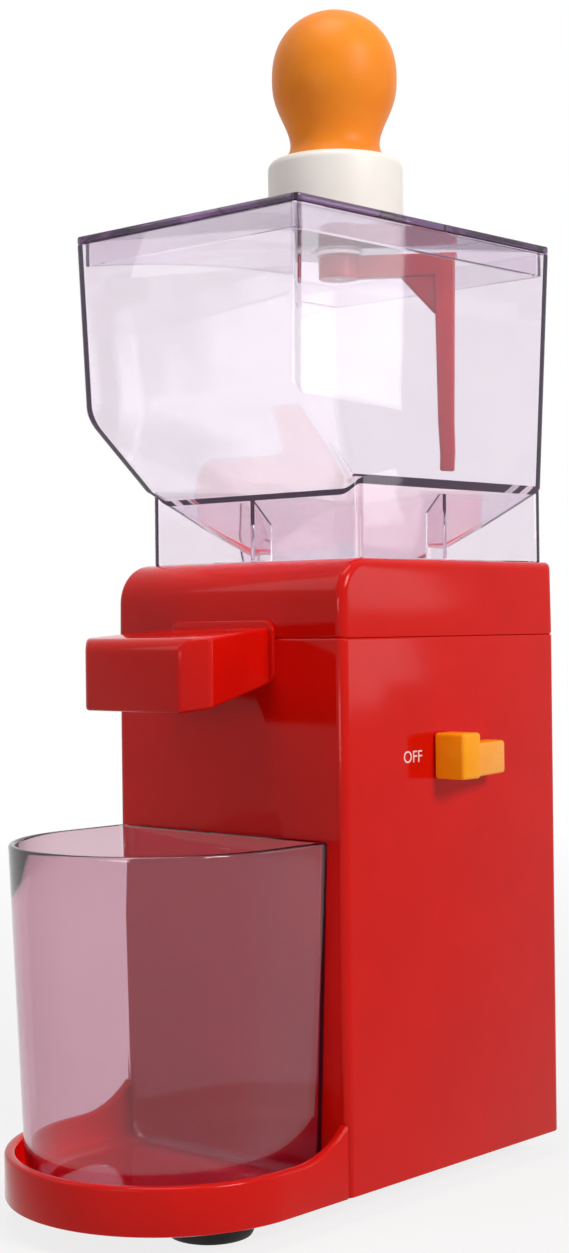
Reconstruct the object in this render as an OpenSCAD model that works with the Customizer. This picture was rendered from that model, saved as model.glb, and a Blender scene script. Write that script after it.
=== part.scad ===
// Nut butter grinder: a tall column with a clear hopper on top, a spout over a clear cup,
// a slide switch on the side and a knob that turns a stirring paddle in the hopper.
// Frame: the floor is z = 0, the grinding and stirring axis is x = y = 0, the spout points to -Y.
// All sizes are in millimetres.

/* [Column] */
// Width of the column and of the tray, along X
body_w = 103; // [100:1:125]
// Distance from the axis to the front face of the column
column_front = 58; // [55:1:70]
// Distance from the axis to the back face of the column
column_back = 55; // [53:1:70]
// Height of the seam between column and top cover above the floor
seam_z = 182; // [178:1:225]
// Height of the top cover above the seam
cover_h = 25; // [24:1:32]
// Thickness of the red walls
wall = 2.5; // [2:0.1:3]
// Radius of the upright edges
edge_r = 3; // [2:0.5:6]
// Radius of the large rounded edge at the front of the top
brow_r = 13; // [8:0.5:15]

/* [Base and tray] */
// Height of the rubber feet
foot_h = 8; // [5:0.5:12]
// Radius of the rubber feet
foot_r = 13.6; // [8:0.2:14]
// Sideways place of the front feet
foot_front_x = 24; // [18:0.5:32]
// Place of the front feet ahead of the axis
foot_front_y = 91; // [80:1:104]
// Sideways place of the rear feet
foot_rear_x = 18; // [15:1:30]
// Place of the rear feet behind the axis
foot_rear_y = 35; // [25:1:36]
// Thickness of the base plate
base_t = 3; // [2.5:0.1:4]
// Distance from the axis to the front of the tray
tray_reach = 137; // [128:1:165]
// Height of the tray rim above the bottom of the column
tray_rim_h = 14.7; // [10:0.1:18]
// Height to which the tray rim sweeps up at the column
tray_swoop_h = 23; // [20:0.5:30]
// Length over which the tray rim sweeps up, ahead of the column
tray_swoop_len = 21; // [16:0.5:30]
// Thickness of the tray rim
tray_wall = 3.5; // [3:0.1:4]

/* [Cup] */
// Height of the cup
cup_h = 107.5; // [70:0.5:132]
// Half width of the cup at its rim
cup_rim_r = 47.5; // [40:0.5:50]
// Half width of the cup at its bottom
cup_foot_r = 43.5; // [36:0.5:45]
// Thickness of the cup wall
cup_wall = 2.2; // [1.6:0.1:3]
// Radius of the cup's lower edge
cup_edge_r = 9; // [4:0.5:12]
// Radius of the cup's back corners
cup_corner_r = 3; // [3:0.5:8]

/* [Spout] */
// Reach of the spout from the front face
spout_reach = 41.3; // [34:0.1:50]
// Half width of the spout where it meets the column
spout_root_w = 21; // [19:0.5:24]
// Half width of the spout at its front
spout_front_w = 28.3; // [24:0.1:30]
// Size of the chamfered front corners of the spout
spout_chamfer = 7; // [4:0.5:9]
// Height of the spout side at the column
spout_h = 18; // [18:0.1:20]
// Fall of the spout's lower edge from the column to its front
spout_low_fall = 8.1; // [5:0.1:10]
// Fall of the spout's top from the column to its front
spout_top_fall = 3.3; // [1:0.1:5]
// Radius of the spout's upper edges
spout_edge_r = 5; // [3:0.5:6]
// Half width of the inside of the outlet duct
duct_w = 11; // [8:0.5:13]
// Height of the inside of the outlet duct
duct_h = 11; // [8:0.5:11]

/* [Switch] */
// Height of the switch above the floor
switch_z = 143; // [120:1:160]
// Distance of the slider's front end ahead of the axis, when off
switch_front = 13.7; // [10:0.1:20]
// Length of the whole slider
slider_len = 28.3; // [26:0.1:34]
// Length of the tall grip on the slider
grip_len = 9.4; // [7:0.1:14]
// Height of the grip
grip_h = 15; // [12:0.5:18]
// Height of the slider's tail
tail_h = 11.5; // [9:0.5:14]
// How far the grip stands out from the column
grip_out = 12.5; // [8:0.5:14]
// How far the end of the tail stands out from the column
tail_out = 8; // [5:0.5:12]
// Travel of the switch from off to on
switch_travel = 7; // [5:0.5:8]

/* [Hopper] */
// Half width of the hopper at its rim
hopper_rim_w = 50.8; // [48:0.1:62]
// Half width of the hopper at the foot of its side walls
hopper_low_w = 47.4; // [44:0.1:48]
// Distance from the axis to the hopper's front wall at the rim
hopper_front = 75.9; // [70:0.1:92]
// Distance from the axis to the hopper's back wall at the rim
hopper_back = 56.2; // [56:0.1:70]
// Height of the hopper's rim above the top of the column
hopper_h = 108; // [95:1:135]
// Height of the foot of the front wall above the top of the column
front_foot_h = 49; // [45:0.5:60]
// Height of the foot of the side walls above the top of the column
side_foot_h = 25.7; // [24:0.1:32]
// Thickness of the clear walls
clear_t = 2.4; // [1.8:0.1:3]
// Distance from the axis to the skirt's front wall
skirt_front = 44.7; // [40:0.1:50]
// Distance from the axis to the skirt's back wall
skirt_back = 54; // [48:0.5:54]
// Radius of the hopper's outlet bore
outlet_r = 12.5; // [10:0.5:14]

/* [Lid and stirrer] */
// Thickness of the lid
lid_t = 2.5; // [2:0.1:4]
// Depth of the lid's inner skirt
lid_skirt_h = 8; // [5:0.5:12]
// Height of the boss in the middle of the lid
lid_boss_h = 8; // [5:0.5:12]
// Radius of the white hub
hub_r = 23.4; // [19:0.1:28]
// Height of the white hub
hub_h = 29; // [20:0.5:36]
// Largest radius of the knob
knob_r = 21.7; // [17:0.1:26]
// Radius of the knob's neck
neck_r = 15.5; // [12:0.1:19]
// Radius of the knob's flared foot
knob_foot_r = 18.5; // [15:0.1:22]
// Height of the knob
knob_h = 52.2; // [40:0.1:64]
// Radius at which the paddle bar turns
paddle_r = 36.6; // [28:0.1:39]
// Length of the paddle bar, from the arm's top down
paddle_len = 76; // [45:1:78]
// Direction of the paddle at rest, in degrees from +X
paddle_angle = 35; // [0:5:355]
// Radius of the stirrer's shaft
stir_shaft_r = 4; // [3:0.5:5]

/* [Drive] */
// Module of the gears
gear_m = 0.7; // [0.6:0.05:0.75]
// Teeth of the motor pinion
motor_teeth = 12; // [12:1:13]
// Teeth of the large idler gear
idler_teeth = 53; // [50:1:53]
// Teeth of the idler pinion
pinion_teeth = 13; // [13:1:14]
// Radius of the grinder's main shaft
main_shaft_r = 5; // [4:0.5:6]
// Radius of the motor's shaft
motor_shaft_r = 3; // [2.5:0.5:4]
// Width of the square stator core
stator_w = 60; // [54:1:60]
// Radius of the armature core
armature_r = 18.5; // [16:0.5:18.5]
// Height of the stator core and of the armature core
core_h = 44; // [30:1:46]
// Inner radius of the grinding chamber
chamber_r = 29; // [27:0.5:30]
// Radius of the cord's bore in its gland
cord_bore_r = 3.5; // [2.5:0.1:4.5]

/* [Clearances] */
// Gap between pieces that slip together by hand
slip = 0.3; // [0.2:0.05:0.5]
// Radial gap between a turning shaft and its bearing
run = 0.05; // [0.02:0.01:0.1]
// Gap between the cup's back and the column
cup_gap = 1.5; // [1:0.1:3]
// Gap between the cup's foot and the tray's rim, at the front
cup_front_gap = 2.3; // [1:0.1:4]

/* [Hidden] */
$fn = 64;

// Colours
red = [0.78, 0.10, 0.06];
clear = [0.86, 0.80, 0.84, 0.4];
black = [0.06, 0.06, 0.06];
steel = [0.70, 0.71, 0.73];
cast = [0.62, 0.63, 0.64];
brass = [0.80, 0.62, 0.28];
copper = [0.72, 0.38, 0.18];
white = [0.96, 0.94, 0.92];
orange = [0.95, 0.52, 0.12];
yellow = [1.0, 0.68, 0.08];

// Column and base levels
half_w = body_w / 2;
bottom_z = foot_h;
base_top = bottom_z + base_t;
top_z = seam_z + cover_h;
cover_in_z = top_z - wall;
in_w = half_w - wall;
in_front = column_front - wall;
in_back = column_back - wall;

// Corner posts of the column, which carry the drive and take the base screws
post_r = 5;
post_inset = 11;
post_x = in_w - post_inset + 1;
post_front = in_front - post_inset;
post_back = in_back - post_inset;
post_tap = 12;
posts = [for (x = [-post_x, post_x], y = [-post_front, post_back]) [x, y]];
// Lugs at the seam that take the top cover's screws, sunk 1 mm into the side walls
lug_r = 4.5;
lug_x = in_w - lug_r + 1;
lug_y = 28;
lug_h = 10;
lugs = [for (x = [-lug_x, lug_x], y = [-lug_y, lug_y]) [x, y]];
screw_r = 1.5;
screw_free_r = 1.8;
screw_head_r = 3;
// Depth of the screw's recess in the underside of a foot
foot_sink = 3.2;

// Levels of the grinding chamber, from the seam down
floor_drop = 12;
chamber_floor = seam_z - floor_drop;
chamber_floor_t = 4;
chamber_low = chamber_floor - chamber_floor_t;
chamber_wall = 3;
chamber_top = seam_z + 8;
cap_t = 4;
boss_h = 11;
boss_r = 20;
boss_low = chamber_low - boss_h;
duct_t = 2;
throat_r = outlet_r + clear_t + slip;

// Levels of the gearbox, from the chamber down
lid_plate_t = 5;
case_top = boss_low - lid_plate_t;
case_in_h = 24;
case_floor = case_top - case_in_h;
case_plate_t = 4;
case_low = case_floor - case_plate_t;
stage_two_z = case_top - 14;
stage_two_h = 9.5;
stage_one_z = case_floor + 2;
stage_one_h = 6;
output_teeth = motor_teeth + idler_teeth - pinion_teeth;
centre_dist = gear_m * (motor_teeth + idler_teeth) / 2;
gear_addendum = 0.85;
gear_dedendum = 1.15;
gear_slack = 0.05;
case_in_r = gear_m * (idler_teeth / 2 + 1) + 1.2;
case_wall = 2;
idler_pin_r = 2.5;
mount_t = 4;
post_top = case_low - mount_t;

// Levels of the motor, from the gearbox down
sleeve_up_h = 30;
core_top = case_low - sleeve_up_h;
core_low = core_top - core_h;
sleeve_low_h = 24;
bracket_t = 4;
bracket_top = core_low - sleeve_low_h;
bracket_low = bracket_top - bracket_t;
bolt_off = stator_w / 2 - 5;
bolt_r = 2;
bolts = [for (x = [-bolt_off, bolt_off], y = [-bolt_off, bolt_off]) [x, y]];
air_gap = 0.5;
motor_bush_r = 8;
motor_bush_h = 8;
bush_seat_r = motor_bush_r + 3;
bush_drop = 5;
fan_z = core_top + 11;
fan_h = 9;
fan_r = 26;
commutator_z = bracket_top + 5;
commutator_h = 12;
commutator_r = 10;
brush_z = commutator_z + commutator_h / 2;
brush_half = 3;
shaft_low = bracket_low - 3;

// Bearings of the main shaft
main_bush_r = main_shaft_r + 4;
seal_h = 3;
shaft_base = stage_two_z;
burr_low = chamber_floor + 5;
burr_h = 9;
fixed_burr_r = chamber_r - slip;
fixed_low_r = 21;
grind_gap = 0.7;
auger_h = 4.5;
auger_r = outlet_r - 1;
nut_h = 4;
nut_r = 7;
shaft_end = burr_low + burr_h + auger_h + nut_h - 1;

// Spout
spout_low_root = chamber_floor - duct_t - 0.6;
spout_y0 = -column_front;
spout_y1 = -column_front - spout_reach;
flange_t = 1.5;
flange_margin = 2.3;
spout_lug_x = 16.4;
spout_lug_z = spout_low_root + 4;

// Hopper, from the top of the column up
rim_z = top_z + hopper_h;
front_foot_z = top_z + front_foot_h;
side_foot_z = top_z + side_foot_h;
spigot_r = outlet_r + clear_t;
spigot_low = chamber_top - 1;
neck_z = top_z - 7.5;
front_draft = 1.3;
front_low = hopper_front - front_draft;
back_low = hopper_back - 1.5;
skirt_t = 2;
well_gap = 1.2;
lid_top = rim_z + lid_t;

// Stirrer, from the lid up and down
arm_h = 7.8;
arm_w = 7;
flange_h = 1.2;
arm_top = rim_z - flange_h - slip;
arm_low = arm_top - arm_h;
bar_top_w = 7.2;
bar_low_w = 5;
bar_low_z = arm_top - paddle_len;
bushing_r = stir_shaft_r + 2;
bushing_flange_r = stir_shaft_r + 4;
boss_lid_r = bushing_r + 3;
hub_low = lid_top + slip;
hub_top = lid_top + hub_h;
knob_low = hub_top;
knob_top = knob_low + knob_h;
knob_mid = knob_low + knob_h * 0.55;
knob_neck = knob_low + 5.6;
hub_wall = 2;
shaft_top = knob_low + 12;

// Cup
cup_low = base_top + slip;
cup_rim = cup_low + cup_h;
cup_back = column_front + cup_gap;
tray_centre = tray_reach - half_w;
cup_centre = tray_reach - tray_wall - cup_foot_r - cup_front_gap;

// Switch and gland
stem_len = 6;
stem_h = 6;
stem_y = -2;
slot_low_y = stem_y - stem_len / 2 - slip;
slot_high_y = stem_y + stem_len / 2 + switch_travel + slip;
switch_y = (slot_low_y + slot_high_y) / 2;
switch_half = 13;
switch_d = 10;
switch_boss_y = 18;
switch_boss_r = 4;
switch_seat = 5;
gland_z = bottom_z + 24;
gland_tube_r = cord_bore_r + 2.5;
gland_flange_r = gland_tube_r + 3.5;
gland_flange_t = 3;
gland_nut_t = 4;

// ---------- shared shapes ----------

// Flat rectangle with round corners
module round_rect(x0, x1, y0, y1, r) {
    translate([x0 + r, y0]) square([x1 - x0 - 2 * r, y1 - y0]);
    translate([x0, y0 + r]) square([x1 - x0, y1 - y0 - 2 * r]);
    for (x = [x0 + r, x1 - r], y = [y0 + r, y1 - r]) translate([x, y]) circle(r);
}

// Upright block with round upright edges
module block(x0, x1, y0, y1, z0, z1, r) {
    translate([0, 0, z0]) linear_extrude(z1 - z0) round_rect(x0, x1, y0, y1, r);
}

// Plain box between two corners
module box(a, b) {
    translate(a) cube(b - a);
}

// Extrudes an outline drawn in Y and Z along X
module along_x(x0, x1) {
    translate([x0, 0, 0]) rotate([90, 0, 90]) linear_extrude(x1 - x0) children();
}

// Extrudes an outline drawn in X and Z along Y
module along_y(y0, y1) {
    translate([0, y1, 0]) rotate([90, 0, 0]) linear_extrude(y1 - y0) children();
}

// Extrudes an outline drawn in X and Y along Z
module along_z(z0, z1) {
    translate([0, 0, z0]) linear_extrude(z1 - z0) children();
}

module rod(r, z0, z1) {
    translate([0, 0, z0]) cylinder(r = r, h = z1 - z0);
}

module tube(r_out, r_in, z0, z1) {
    difference() {
        rod(r_out, z0, z1);
        rod(r_in, z0 - 1, z1 + 1);
    }
}

module each_at(places) {
    for (p = places) translate([p[0], p[1], 0]) children();
}

// Pan head screw, its head above z = 0 and its shank below
module screw(length, r = screw_r) {
    difference() {
        union() {
            rod(r * 2, 0, r * 1.45);
            rod(r, -length, 0);
        }
        for (a = [0, 90]) rotate(a) box([-r * 1.2, -r * 0.25, r * 0.7], [r * 1.2, r * 0.25, r * 2]);
    }
}

// Involute gear outline with a tooth centred on +X
function involute(a) = tan(a) - a * PI / 180;
function tooth_half(teeth, r) =
    let (base_r = gear_m * teeth / 2 * cos(20))
    90 / teeth - gear_slack * 180 / PI / (gear_m * teeth / 2)
    + (involute(20) - involute(acos(min(1, base_r / r)))) * 180 / PI;
module gear_outline(teeth) {
    pitch_r = gear_m * teeth / 2;
    root_r = pitch_r - gear_dedendum * gear_m;
    tip_r = pitch_r + gear_addendum * gear_m;
    start_r = max(root_r + 0.05, pitch_r * cos(20) + 0.02);
    radii = [start_r, (start_r + tip_r) / 2, tip_r];
    polygon([for (i = [0 : teeth - 1]) let (mid = i * 360 / teeth) each concat(
        [let (a = mid - tooth_half(teeth, start_r)) root_r * [cos(a), sin(a)]],
        [for (r = radii) let (a = mid - tooth_half(teeth, r)) r * [cos(a), sin(a)]],
        [for (k = [2 : -1 : 0]) let (r = radii[k], a = mid + tooth_half(teeth, r))
            r * [cos(a), sin(a)]],
        [let (a = mid + tooth_half(teeth, start_r)) root_r * [cos(a), sin(a)]]
    )]);
}
module gear(teeth, turn, z, h) {
    translate([0, 0, z]) rotate(turn) linear_extrude(h) gear_outline(teeth);
}

// ---------- housing ----------

// Side outline of the whole column with its rounded brow, shrunk by g
module brow_outline(z0, g) {
    translate([-column_front + brow_r, z0])
        square([column_front + column_back - brow_r - g, top_z - g - z0]);
    translate([-column_front + g, z0]) square([brow_r + 1, top_z - brow_r - z0]);
    translate([-column_front + brow_r, top_z - brow_r]) circle(brow_r - g);
}

module duct_hole(g) {
    box([-duct_w - duct_t - g, -column_front - 1, chamber_floor - duct_t - g],
        [duct_w + duct_t + g, -in_front + 1, chamber_floor + duct_h + duct_t + g]);
}

module spout_lug_holes(r) {
    for (x = [-spout_lug_x, spout_lug_x])
        translate([x, -in_front + 1, spout_lug_z]) rotate([90, 0, 0]) cylinder(r = r, h = wall + 2);
}

module column_shell() {
    color(red) difference() {
        union() {
            difference() {
                block(-half_w, half_w, -column_front, column_back, bottom_z, seam_z, edge_r);
                block(-in_w, in_w, -in_front, in_back, bottom_z - 1, seam_z + 1, 1);
            }
            each_at(posts) rod(post_r, base_top, post_top);
            for (p = posts) let (s = sign(p[0]))
                box([min(p[0], s * in_w), p[1] - 1, base_top], [max(p[0], s * in_w), p[1] + 1, post_top]);
            each_at(lugs) rod(lug_r, seam_z - lug_h, seam_z);
            for (y = [switch_y - switch_boss_y, switch_y + switch_boss_y])
                translate([in_w - switch_seat, y, switch_z]) rotate([0, 90, 0])
                    cylinder(r = switch_boss_r, h = switch_seat);
        }
        // the base plate passes under the front wall
        box([-in_w, -column_front - 1, bottom_z - 1], [in_w, -in_front + 1, base_top]);
        each_at(posts) rod(screw_r, base_top - 1, base_top + post_tap);
        each_at(posts) rod(screw_r, post_top - post_tap, post_top + 1);
        each_at(lugs) rod(screw_free_r, seam_z - lug_h - 1, seam_z + 1);
        duct_hole(slip);
        spout_lug_holes(screw_r);
        box([in_w - 1, slot_low_y, switch_z - stem_h / 2 - slip],
            [half_w + 1, slot_high_y, switch_z + stem_h / 2 + slip]);
        for (y = [switch_y - switch_boss_y, switch_y + switch_boss_y])
            translate([in_w - switch_seat - 1, y, switch_z]) rotate([0, 90, 0])
                cylinder(r = screw_r, h = switch_seat + 1);
        translate([0, column_back + 1, gland_z]) rotate([90, 0, 0])
            cylinder(r = gland_tube_r + slip / 2, h = wall + 2);
    }
}

module top_cover() {
    color(red) difference() {
        union() {
            difference() {
                intersection() {
                    block(-half_w, half_w, -column_front, column_back, seam_z, top_z, edge_r);
                    along_x(-half_w, half_w) brow_outline(seam_z, 0);
                }
                intersection() {
                    block(-in_w, in_w, -in_front, in_back, seam_z - 1, top_z, 1);
                    along_x(-half_w, half_w) brow_outline(seam_z - 1, wall);
                }
            }
            each_at(lugs) rod(lug_r, seam_z, cover_in_z + 0.5);
            // rim of the well that the funnel drops into
            block(-well_x - 2, well_x + 2, -well_front - 2, well_back + 2, top_z - 7, top_z - 1, 3);
        }
        block(-well_x, well_x, -well_front, well_back, top_z - 8, top_z + 1, 2);
        each_at(lugs) rod(screw_r, seam_z - 1, seam_z + 12);
        duct_hole(slip);
    }
}

module base_tray() {
    swoop_y = column_front + tray_swoop_len;
    rise = tray_swoop_h - tray_rim_h;
    swoop_r = (pow(swoop_y - column_front, 2) + rise * rise) / (2 * rise);
    rim = bottom_z + tray_rim_h;
    color(red) difference() {
        union() {
            difference() {
                intersection() {
                    union() {
                        translate([0, -tray_centre, bottom_z]) cylinder(r = half_w, h = tray_swoop_h);
                        box([-half_w, -tray_centre, bottom_z], [half_w, 0, bottom_z + tray_swoop_h]);
                    }
                    box([-half_w, -tray_reach, bottom_z], [half_w, -column_front, bottom_z + tray_swoop_h]);
                }
                translate([0, -tray_centre, base_top]) cylinder(r = half_w - tray_wall, h = tray_swoop_h);
                box([-half_w + tray_wall, -tray_centre, base_top],
                    [half_w - tray_wall, -column_front + 1, bottom_z + tray_swoop_h + 1]);
                // the rim is low round the cup and sweeps up to the column
                box([-half_w - 1, -tray_reach - 1, rim], [half_w + 1, -swoop_y, rim + 2 * swoop_r]);
                translate([-half_w - 1, -swoop_y, rim + swoop_r]) rotate([0, 90, 0])
                    cylinder(r = swoop_r, h = body_w + 2);
            }
            block(-in_w + slip, in_w - slip, -column_front - 6, in_back - slip, bottom_z, base_top, 1);
        }
        each_at(posts) rod(screw_free_r, bottom_z - 1, base_top + 1);
        each_at(posts) rod(screw_head_r + 0.5, bottom_z - 1, bottom_z + 1);
        foot_places() rod(screw_r, bottom_z - 1, base_top + 1);
        for (y = [-30 : 6 : 12]) block(-12, 12, y, y + 2.6, bottom_z - 1, base_top + 1, 1.2);
    }
}

module spout_plan(g) {
    front = spout_y1 + g;
    polygon([
        [-spout_root_w + g, spout_y0 + 1], [-spout_front_w + g, spout_y1 + spout_chamfer],
        [-spout_front_w + spout_chamfer + g * 0.4, front], [spout_front_w - spout_chamfer - g * 0.4, front],
        [spout_front_w - g, spout_y1 + spout_chamfer], [spout_root_w - g, spout_y0 + 1]
    ]);
}

// Side outline of the hood with its round front edge, shrunk by g and open below
module hood_outline(g) {
    slope = atan(spout_top_fall / spout_reach);
    r = spout_edge_r;
    top_front = spout_low_root + spout_h - spout_top_fall;
    mid = [spout_y1 + r, top_front + r * tan(slope) - r / cos(slope)];
    polygon([
        [spout_y0 + 1, spout_low_root - g * 3], [spout_y0, spout_low_root - g * 3],
        [spout_y1 + g, spout_low_root - spout_low_fall - g * 3], [spout_y1 + g, mid[1]], mid,
        mid + (r - g) * [-sin(slope), cos(slope)],
        [spout_y0 + 1, spout_low_root + spout_h + tan(slope) - g / cos(slope)]
    ]);
    translate(mid) circle(r - g);
}

module spout() {
    color(red) difference() {
        union() {
            intersection() {
                translate([0, 0, bottom_z]) linear_extrude(top_z) spout_plan(0);
                along_x(-half_w, half_w) hood_outline(0);
                box([-half_w, spout_y1 - 1, bottom_z], [half_w, spout_y0, top_z]);
            }
            // moulded collar round the root
            along_y(spout_y0 - flange_t, spout_y0)
                round_rect(-spout_root_w - flange_margin, spout_root_w + flange_margin,
                    spout_low_root, spout_low_root + spout_h + flange_margin, 4);
        }
        difference() {
            intersection() {
                translate([0, 0, bottom_z]) linear_extrude(top_z) spout_plan(wall);
                along_x(-half_w, half_w) hood_outline(wall);
            }
            // the hood's back wall, with the duct's opening in it
            box([-half_w, spout_y0 - 3, bottom_z], [half_w, spout_y0 + 2, top_z]);
        }
        duct_hole(slip);
        translate([0, -3, 0]) duct_hole(slip);
        for (x = [-spout_lug_x, spout_lug_x])
            translate([x, spout_y0 + 1, spout_lug_z]) rotate([90, 0, 0]) cylinder(r = screw_r, h = 3);
    }
}

module foot_places() {
    each_at([[-foot_front_x, -foot_front_y], [foot_front_x, -foot_front_y],
        [-foot_rear_x, foot_rear_y], [foot_rear_x, foot_rear_y]]) children();
}

module foot() {
    color(black) difference() {
        union() {
            rod(foot_r, 1, foot_h);
            cylinder(r1 = foot_r - 1, r2 = foot_r, h = 1);
        }
        rod(screw_head_r + 1, -1, foot_sink);
        rod(screw_free_r, -1, foot_h + 1);
    }
}

module front_feet() {
    each_at([[-foot_front_x, -foot_front_y], [foot_front_x, -foot_front_y]]) foot();
}

module rear_feet() {
    each_at([[-foot_rear_x, foot_rear_y], [foot_rear_x, foot_rear_y]]) foot();
}

module foot_screws() {
    color(steel) foot_places() translate([0, 0, foot_sink]) mirror([0, 0, 1])
        screw(base_top - foot_sink - 0.2);
}

module base_screws() {
    color(steel) each_at(posts) translate([0, 0, bottom_z + 1]) mirror([0, 0, 1]) screw(12);
}

module cover_screws() {
    color(steel) each_at(lugs) translate([0, 0, seam_z - lug_h]) mirror([0, 0, 1]) screw(lug_h + 10);
}

module drive_screws() {
    color(steel) each_at(posts) translate([0, 0, case_floor]) screw(case_plate_t + mount_t + 10);
}

module spout_screws() {
    color(steel) for (x = [-spout_lug_x, spout_lug_x])
        translate([x, -in_front, spout_lug_z]) rotate([-90, 0, 0]) screw(wall + 2);
}

module cord_gland() {
    color(black) translate([0, column_back, gland_z]) rotate([-90, 0, 0]) difference() {
        union() {
            rod(gland_flange_r, 0, gland_flange_t);
            rod(gland_tube_r, -wall - gland_nut_t - 1, 0);
        }
        rod(cord_bore_r, -wall - gland_nut_t - 2, gland_flange_t + 1);
    }
}

module gland_nut() {
    color(black) translate([0, in_back, gland_z]) rotate([90, 0, 0]) difference() {
        cylinder(r = gland_tube_r + 3, h = gland_nut_t, $fn = 6);
        translate([0, 0, -1]) cylinder(r = gland_tube_r, h = gland_nut_t + 2);
    }
}

// ---------- switch ----------

module slide_switch() {
    face = in_w - switch_seat;
    color(black) difference() {
        union() {
            box([face - switch_d, switch_y - switch_half, switch_z - 7],
                [face, switch_y + switch_half, switch_z + 7]);
            box([face - 2, switch_y - switch_boss_y - switch_boss_r, switch_z - switch_boss_r],
                [face, switch_y + switch_boss_y + switch_boss_r, switch_z + switch_boss_r]);
            // solder tags at the back
            for (y = [-7, 0, 7]) box([face - switch_d - 5, switch_y + y - 1.5, switch_z - 0.4],
                [face - switch_d, switch_y + y + 1.5, switch_z + 0.4]);
        }
        box([face - 4, slot_low_y - slip, switch_z - stem_h / 2 - slip],
            [face + 1, slot_high_y + slip, switch_z + stem_h / 2 + slip]);
        for (y = [switch_y - switch_boss_y, switch_y + switch_boss_y])
            translate([face - 5, y, switch_z]) rotate([0, 90, 0]) cylinder(r = screw_free_r, h = 6);
    }
}

module switch_screws() {
    color(steel) for (y = [switch_y - switch_boss_y, switch_y + switch_boss_y])
        translate([in_w - switch_seat - 2, y, switch_z]) rotate([0, -90, 0]) screw(switch_seat + 1);
}

module switch_slider() {
    y0 = -switch_front;
    y1 = y0 + slider_len;
    z0 = switch_z - grip_h / 2;
    x0 = half_w + slip;
    color(yellow) {
        along_z(z0 + 0.5, z0 + tail_h) polygon([
            [x0, y0 + 1], [half_w + grip_out, y0 + 1], [half_w + grip_out, y0 + grip_len],
            [half_w + tail_out, y1], [x0, y1]
        ]);
        block(x0, half_w + grip_out, y0, y0 + grip_len, z0, z0 + grip_h, 1);
        box([in_w - switch_seat - 3, stem_y - stem_len / 2, switch_z - stem_h / 2],
            [x0 + 1, stem_y + stem_len / 2, switch_z + stem_h / 2]);
    }
}

// ---------- gearbox ----------

// Plan of the gearbox: two round bays over the shaft and the idler
module bays(r) {
    circle(r);
    translate([0, centre_dist]) circle(r);
    translate([-r, 0]) square([2 * r, centre_dist]);
}

case_lug_r = 4;
case_screws = [for (side = [-1, 1], y = [-11, 30]) [side * (case_in_r + case_lug_r), y]];

module rubber_mounts() {
    color(black) each_at(posts) tube(post_r + 1, screw_free_r, post_top, case_low);
}

module gearbox_case() {
    px = post_x + 6;
    color(cast) difference() {
        union() {
            block(-px, px, -post_front - 6, post_back + 6, case_low, case_floor, 4);
            along_z(case_low, case_top) bays(case_in_r + case_wall);
            each_at(case_screws) rod(case_lug_r, case_low, case_top);
            for (p = case_screws) let (s = sign(p[0]))
                box([min(p[0], s * case_in_r), p[1] - 1.5, case_low],
                    [max(p[0], s * case_in_r), p[1] + 1.5, case_top]);
            rod(bush_seat_r, case_low - bush_drop, case_low + 1);
        }
        along_z(case_floor, case_top + 1) bays(case_in_r);
        rod(motor_bush_r, case_low - bush_drop - 1, case_low - bush_drop + motor_bush_h);
        rod(motor_shaft_r + 1, case_low - bush_drop - 1, case_top);
        each_at([[0, centre_dist]]) rod(idler_pin_r, case_low - 1, case_top);
        each_at(posts) rod(screw_free_r, case_low - 1, case_floor + 1);
        each_at(bolts) rod(bolt_r, case_low - 1, case_floor + 1);
        each_at(case_screws) rod(screw_r, case_top - 10, case_top + 1);
    }
}

module gearbox_cover() {
    color(cast) difference() {
        union() {
            along_z(case_top, boss_low) bays(case_in_r + case_wall);
            each_at(case_screws) rod(case_lug_r, case_top, boss_low);
            for (p = case_screws) let (s = sign(p[0]))
                box([min(p[0], s * case_in_r), p[1] - 1.5, case_top],
                    [max(p[0], s * case_in_r), p[1] + 1.5, boss_low]);
        }
        rod(main_bush_r, case_top - 1, boss_low + 1);
        each_at([[0, centre_dist]]) rod(idler_pin_r, case_top - 1, boss_low + 1);
        each_at(case_screws) rod(screw_free_r, case_top - 1, boss_low + 1);
        each_at(chamber_holes) rod(screw_free_r, case_top - 1, boss_low + 1);
    }
}

module gearbox_screws() {
    color(steel) each_at(case_screws) translate([0, 0, boss_low]) screw(lid_plate_t + 8);
}

// Screws from under the gearbox cover up into the chamber's boss
chamber_holes = [for (a = [45 : 90 : 315]) 15.5 * [cos(a), sin(a)]];

module chamber_screws() {
    color(steel) each_at(chamber_holes) translate([0, 0, case_top]) mirror([0, 0, 1]) screw(lid_plate_t + 7);
}

module idler_pin() {
    color(steel) each_at([[0, centre_dist]]) rod(idler_pin_r, case_low, boss_low);
}

module idler_gear() {
    color(steel) translate([0, centre_dist, 0]) difference() {
        union() {
            gear(idler_teeth, -90 + 180 / idler_teeth, stage_one_z, stage_one_h);
            gear(pinion_teeth, -90, stage_one_z + stage_one_h,
                stage_two_z + stage_two_h - stage_one_z - stage_one_h);
            rod(idler_pin_r + 1.5, case_floor + slip, stage_one_z + 1);
        }
        rod(idler_pin_r + run, case_floor, case_top);
    }
}

module output_gear() {
    color(steel) difference() {
        union() {
            gear(output_teeth, 90 + 180 / output_teeth, stage_two_z, stage_two_h);
            rod(main_shaft_r + 4, stage_two_z, case_top - slip);
        }
        rod(main_shaft_r, stage_two_z - 1, case_top + 1);
    }
}

// ---------- grinder ----------

cap_lugs = [for (a = [45 : 90 : 315]) (chamber_r + chamber_wall + 2) * [cos(a), sin(a)]];

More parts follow.
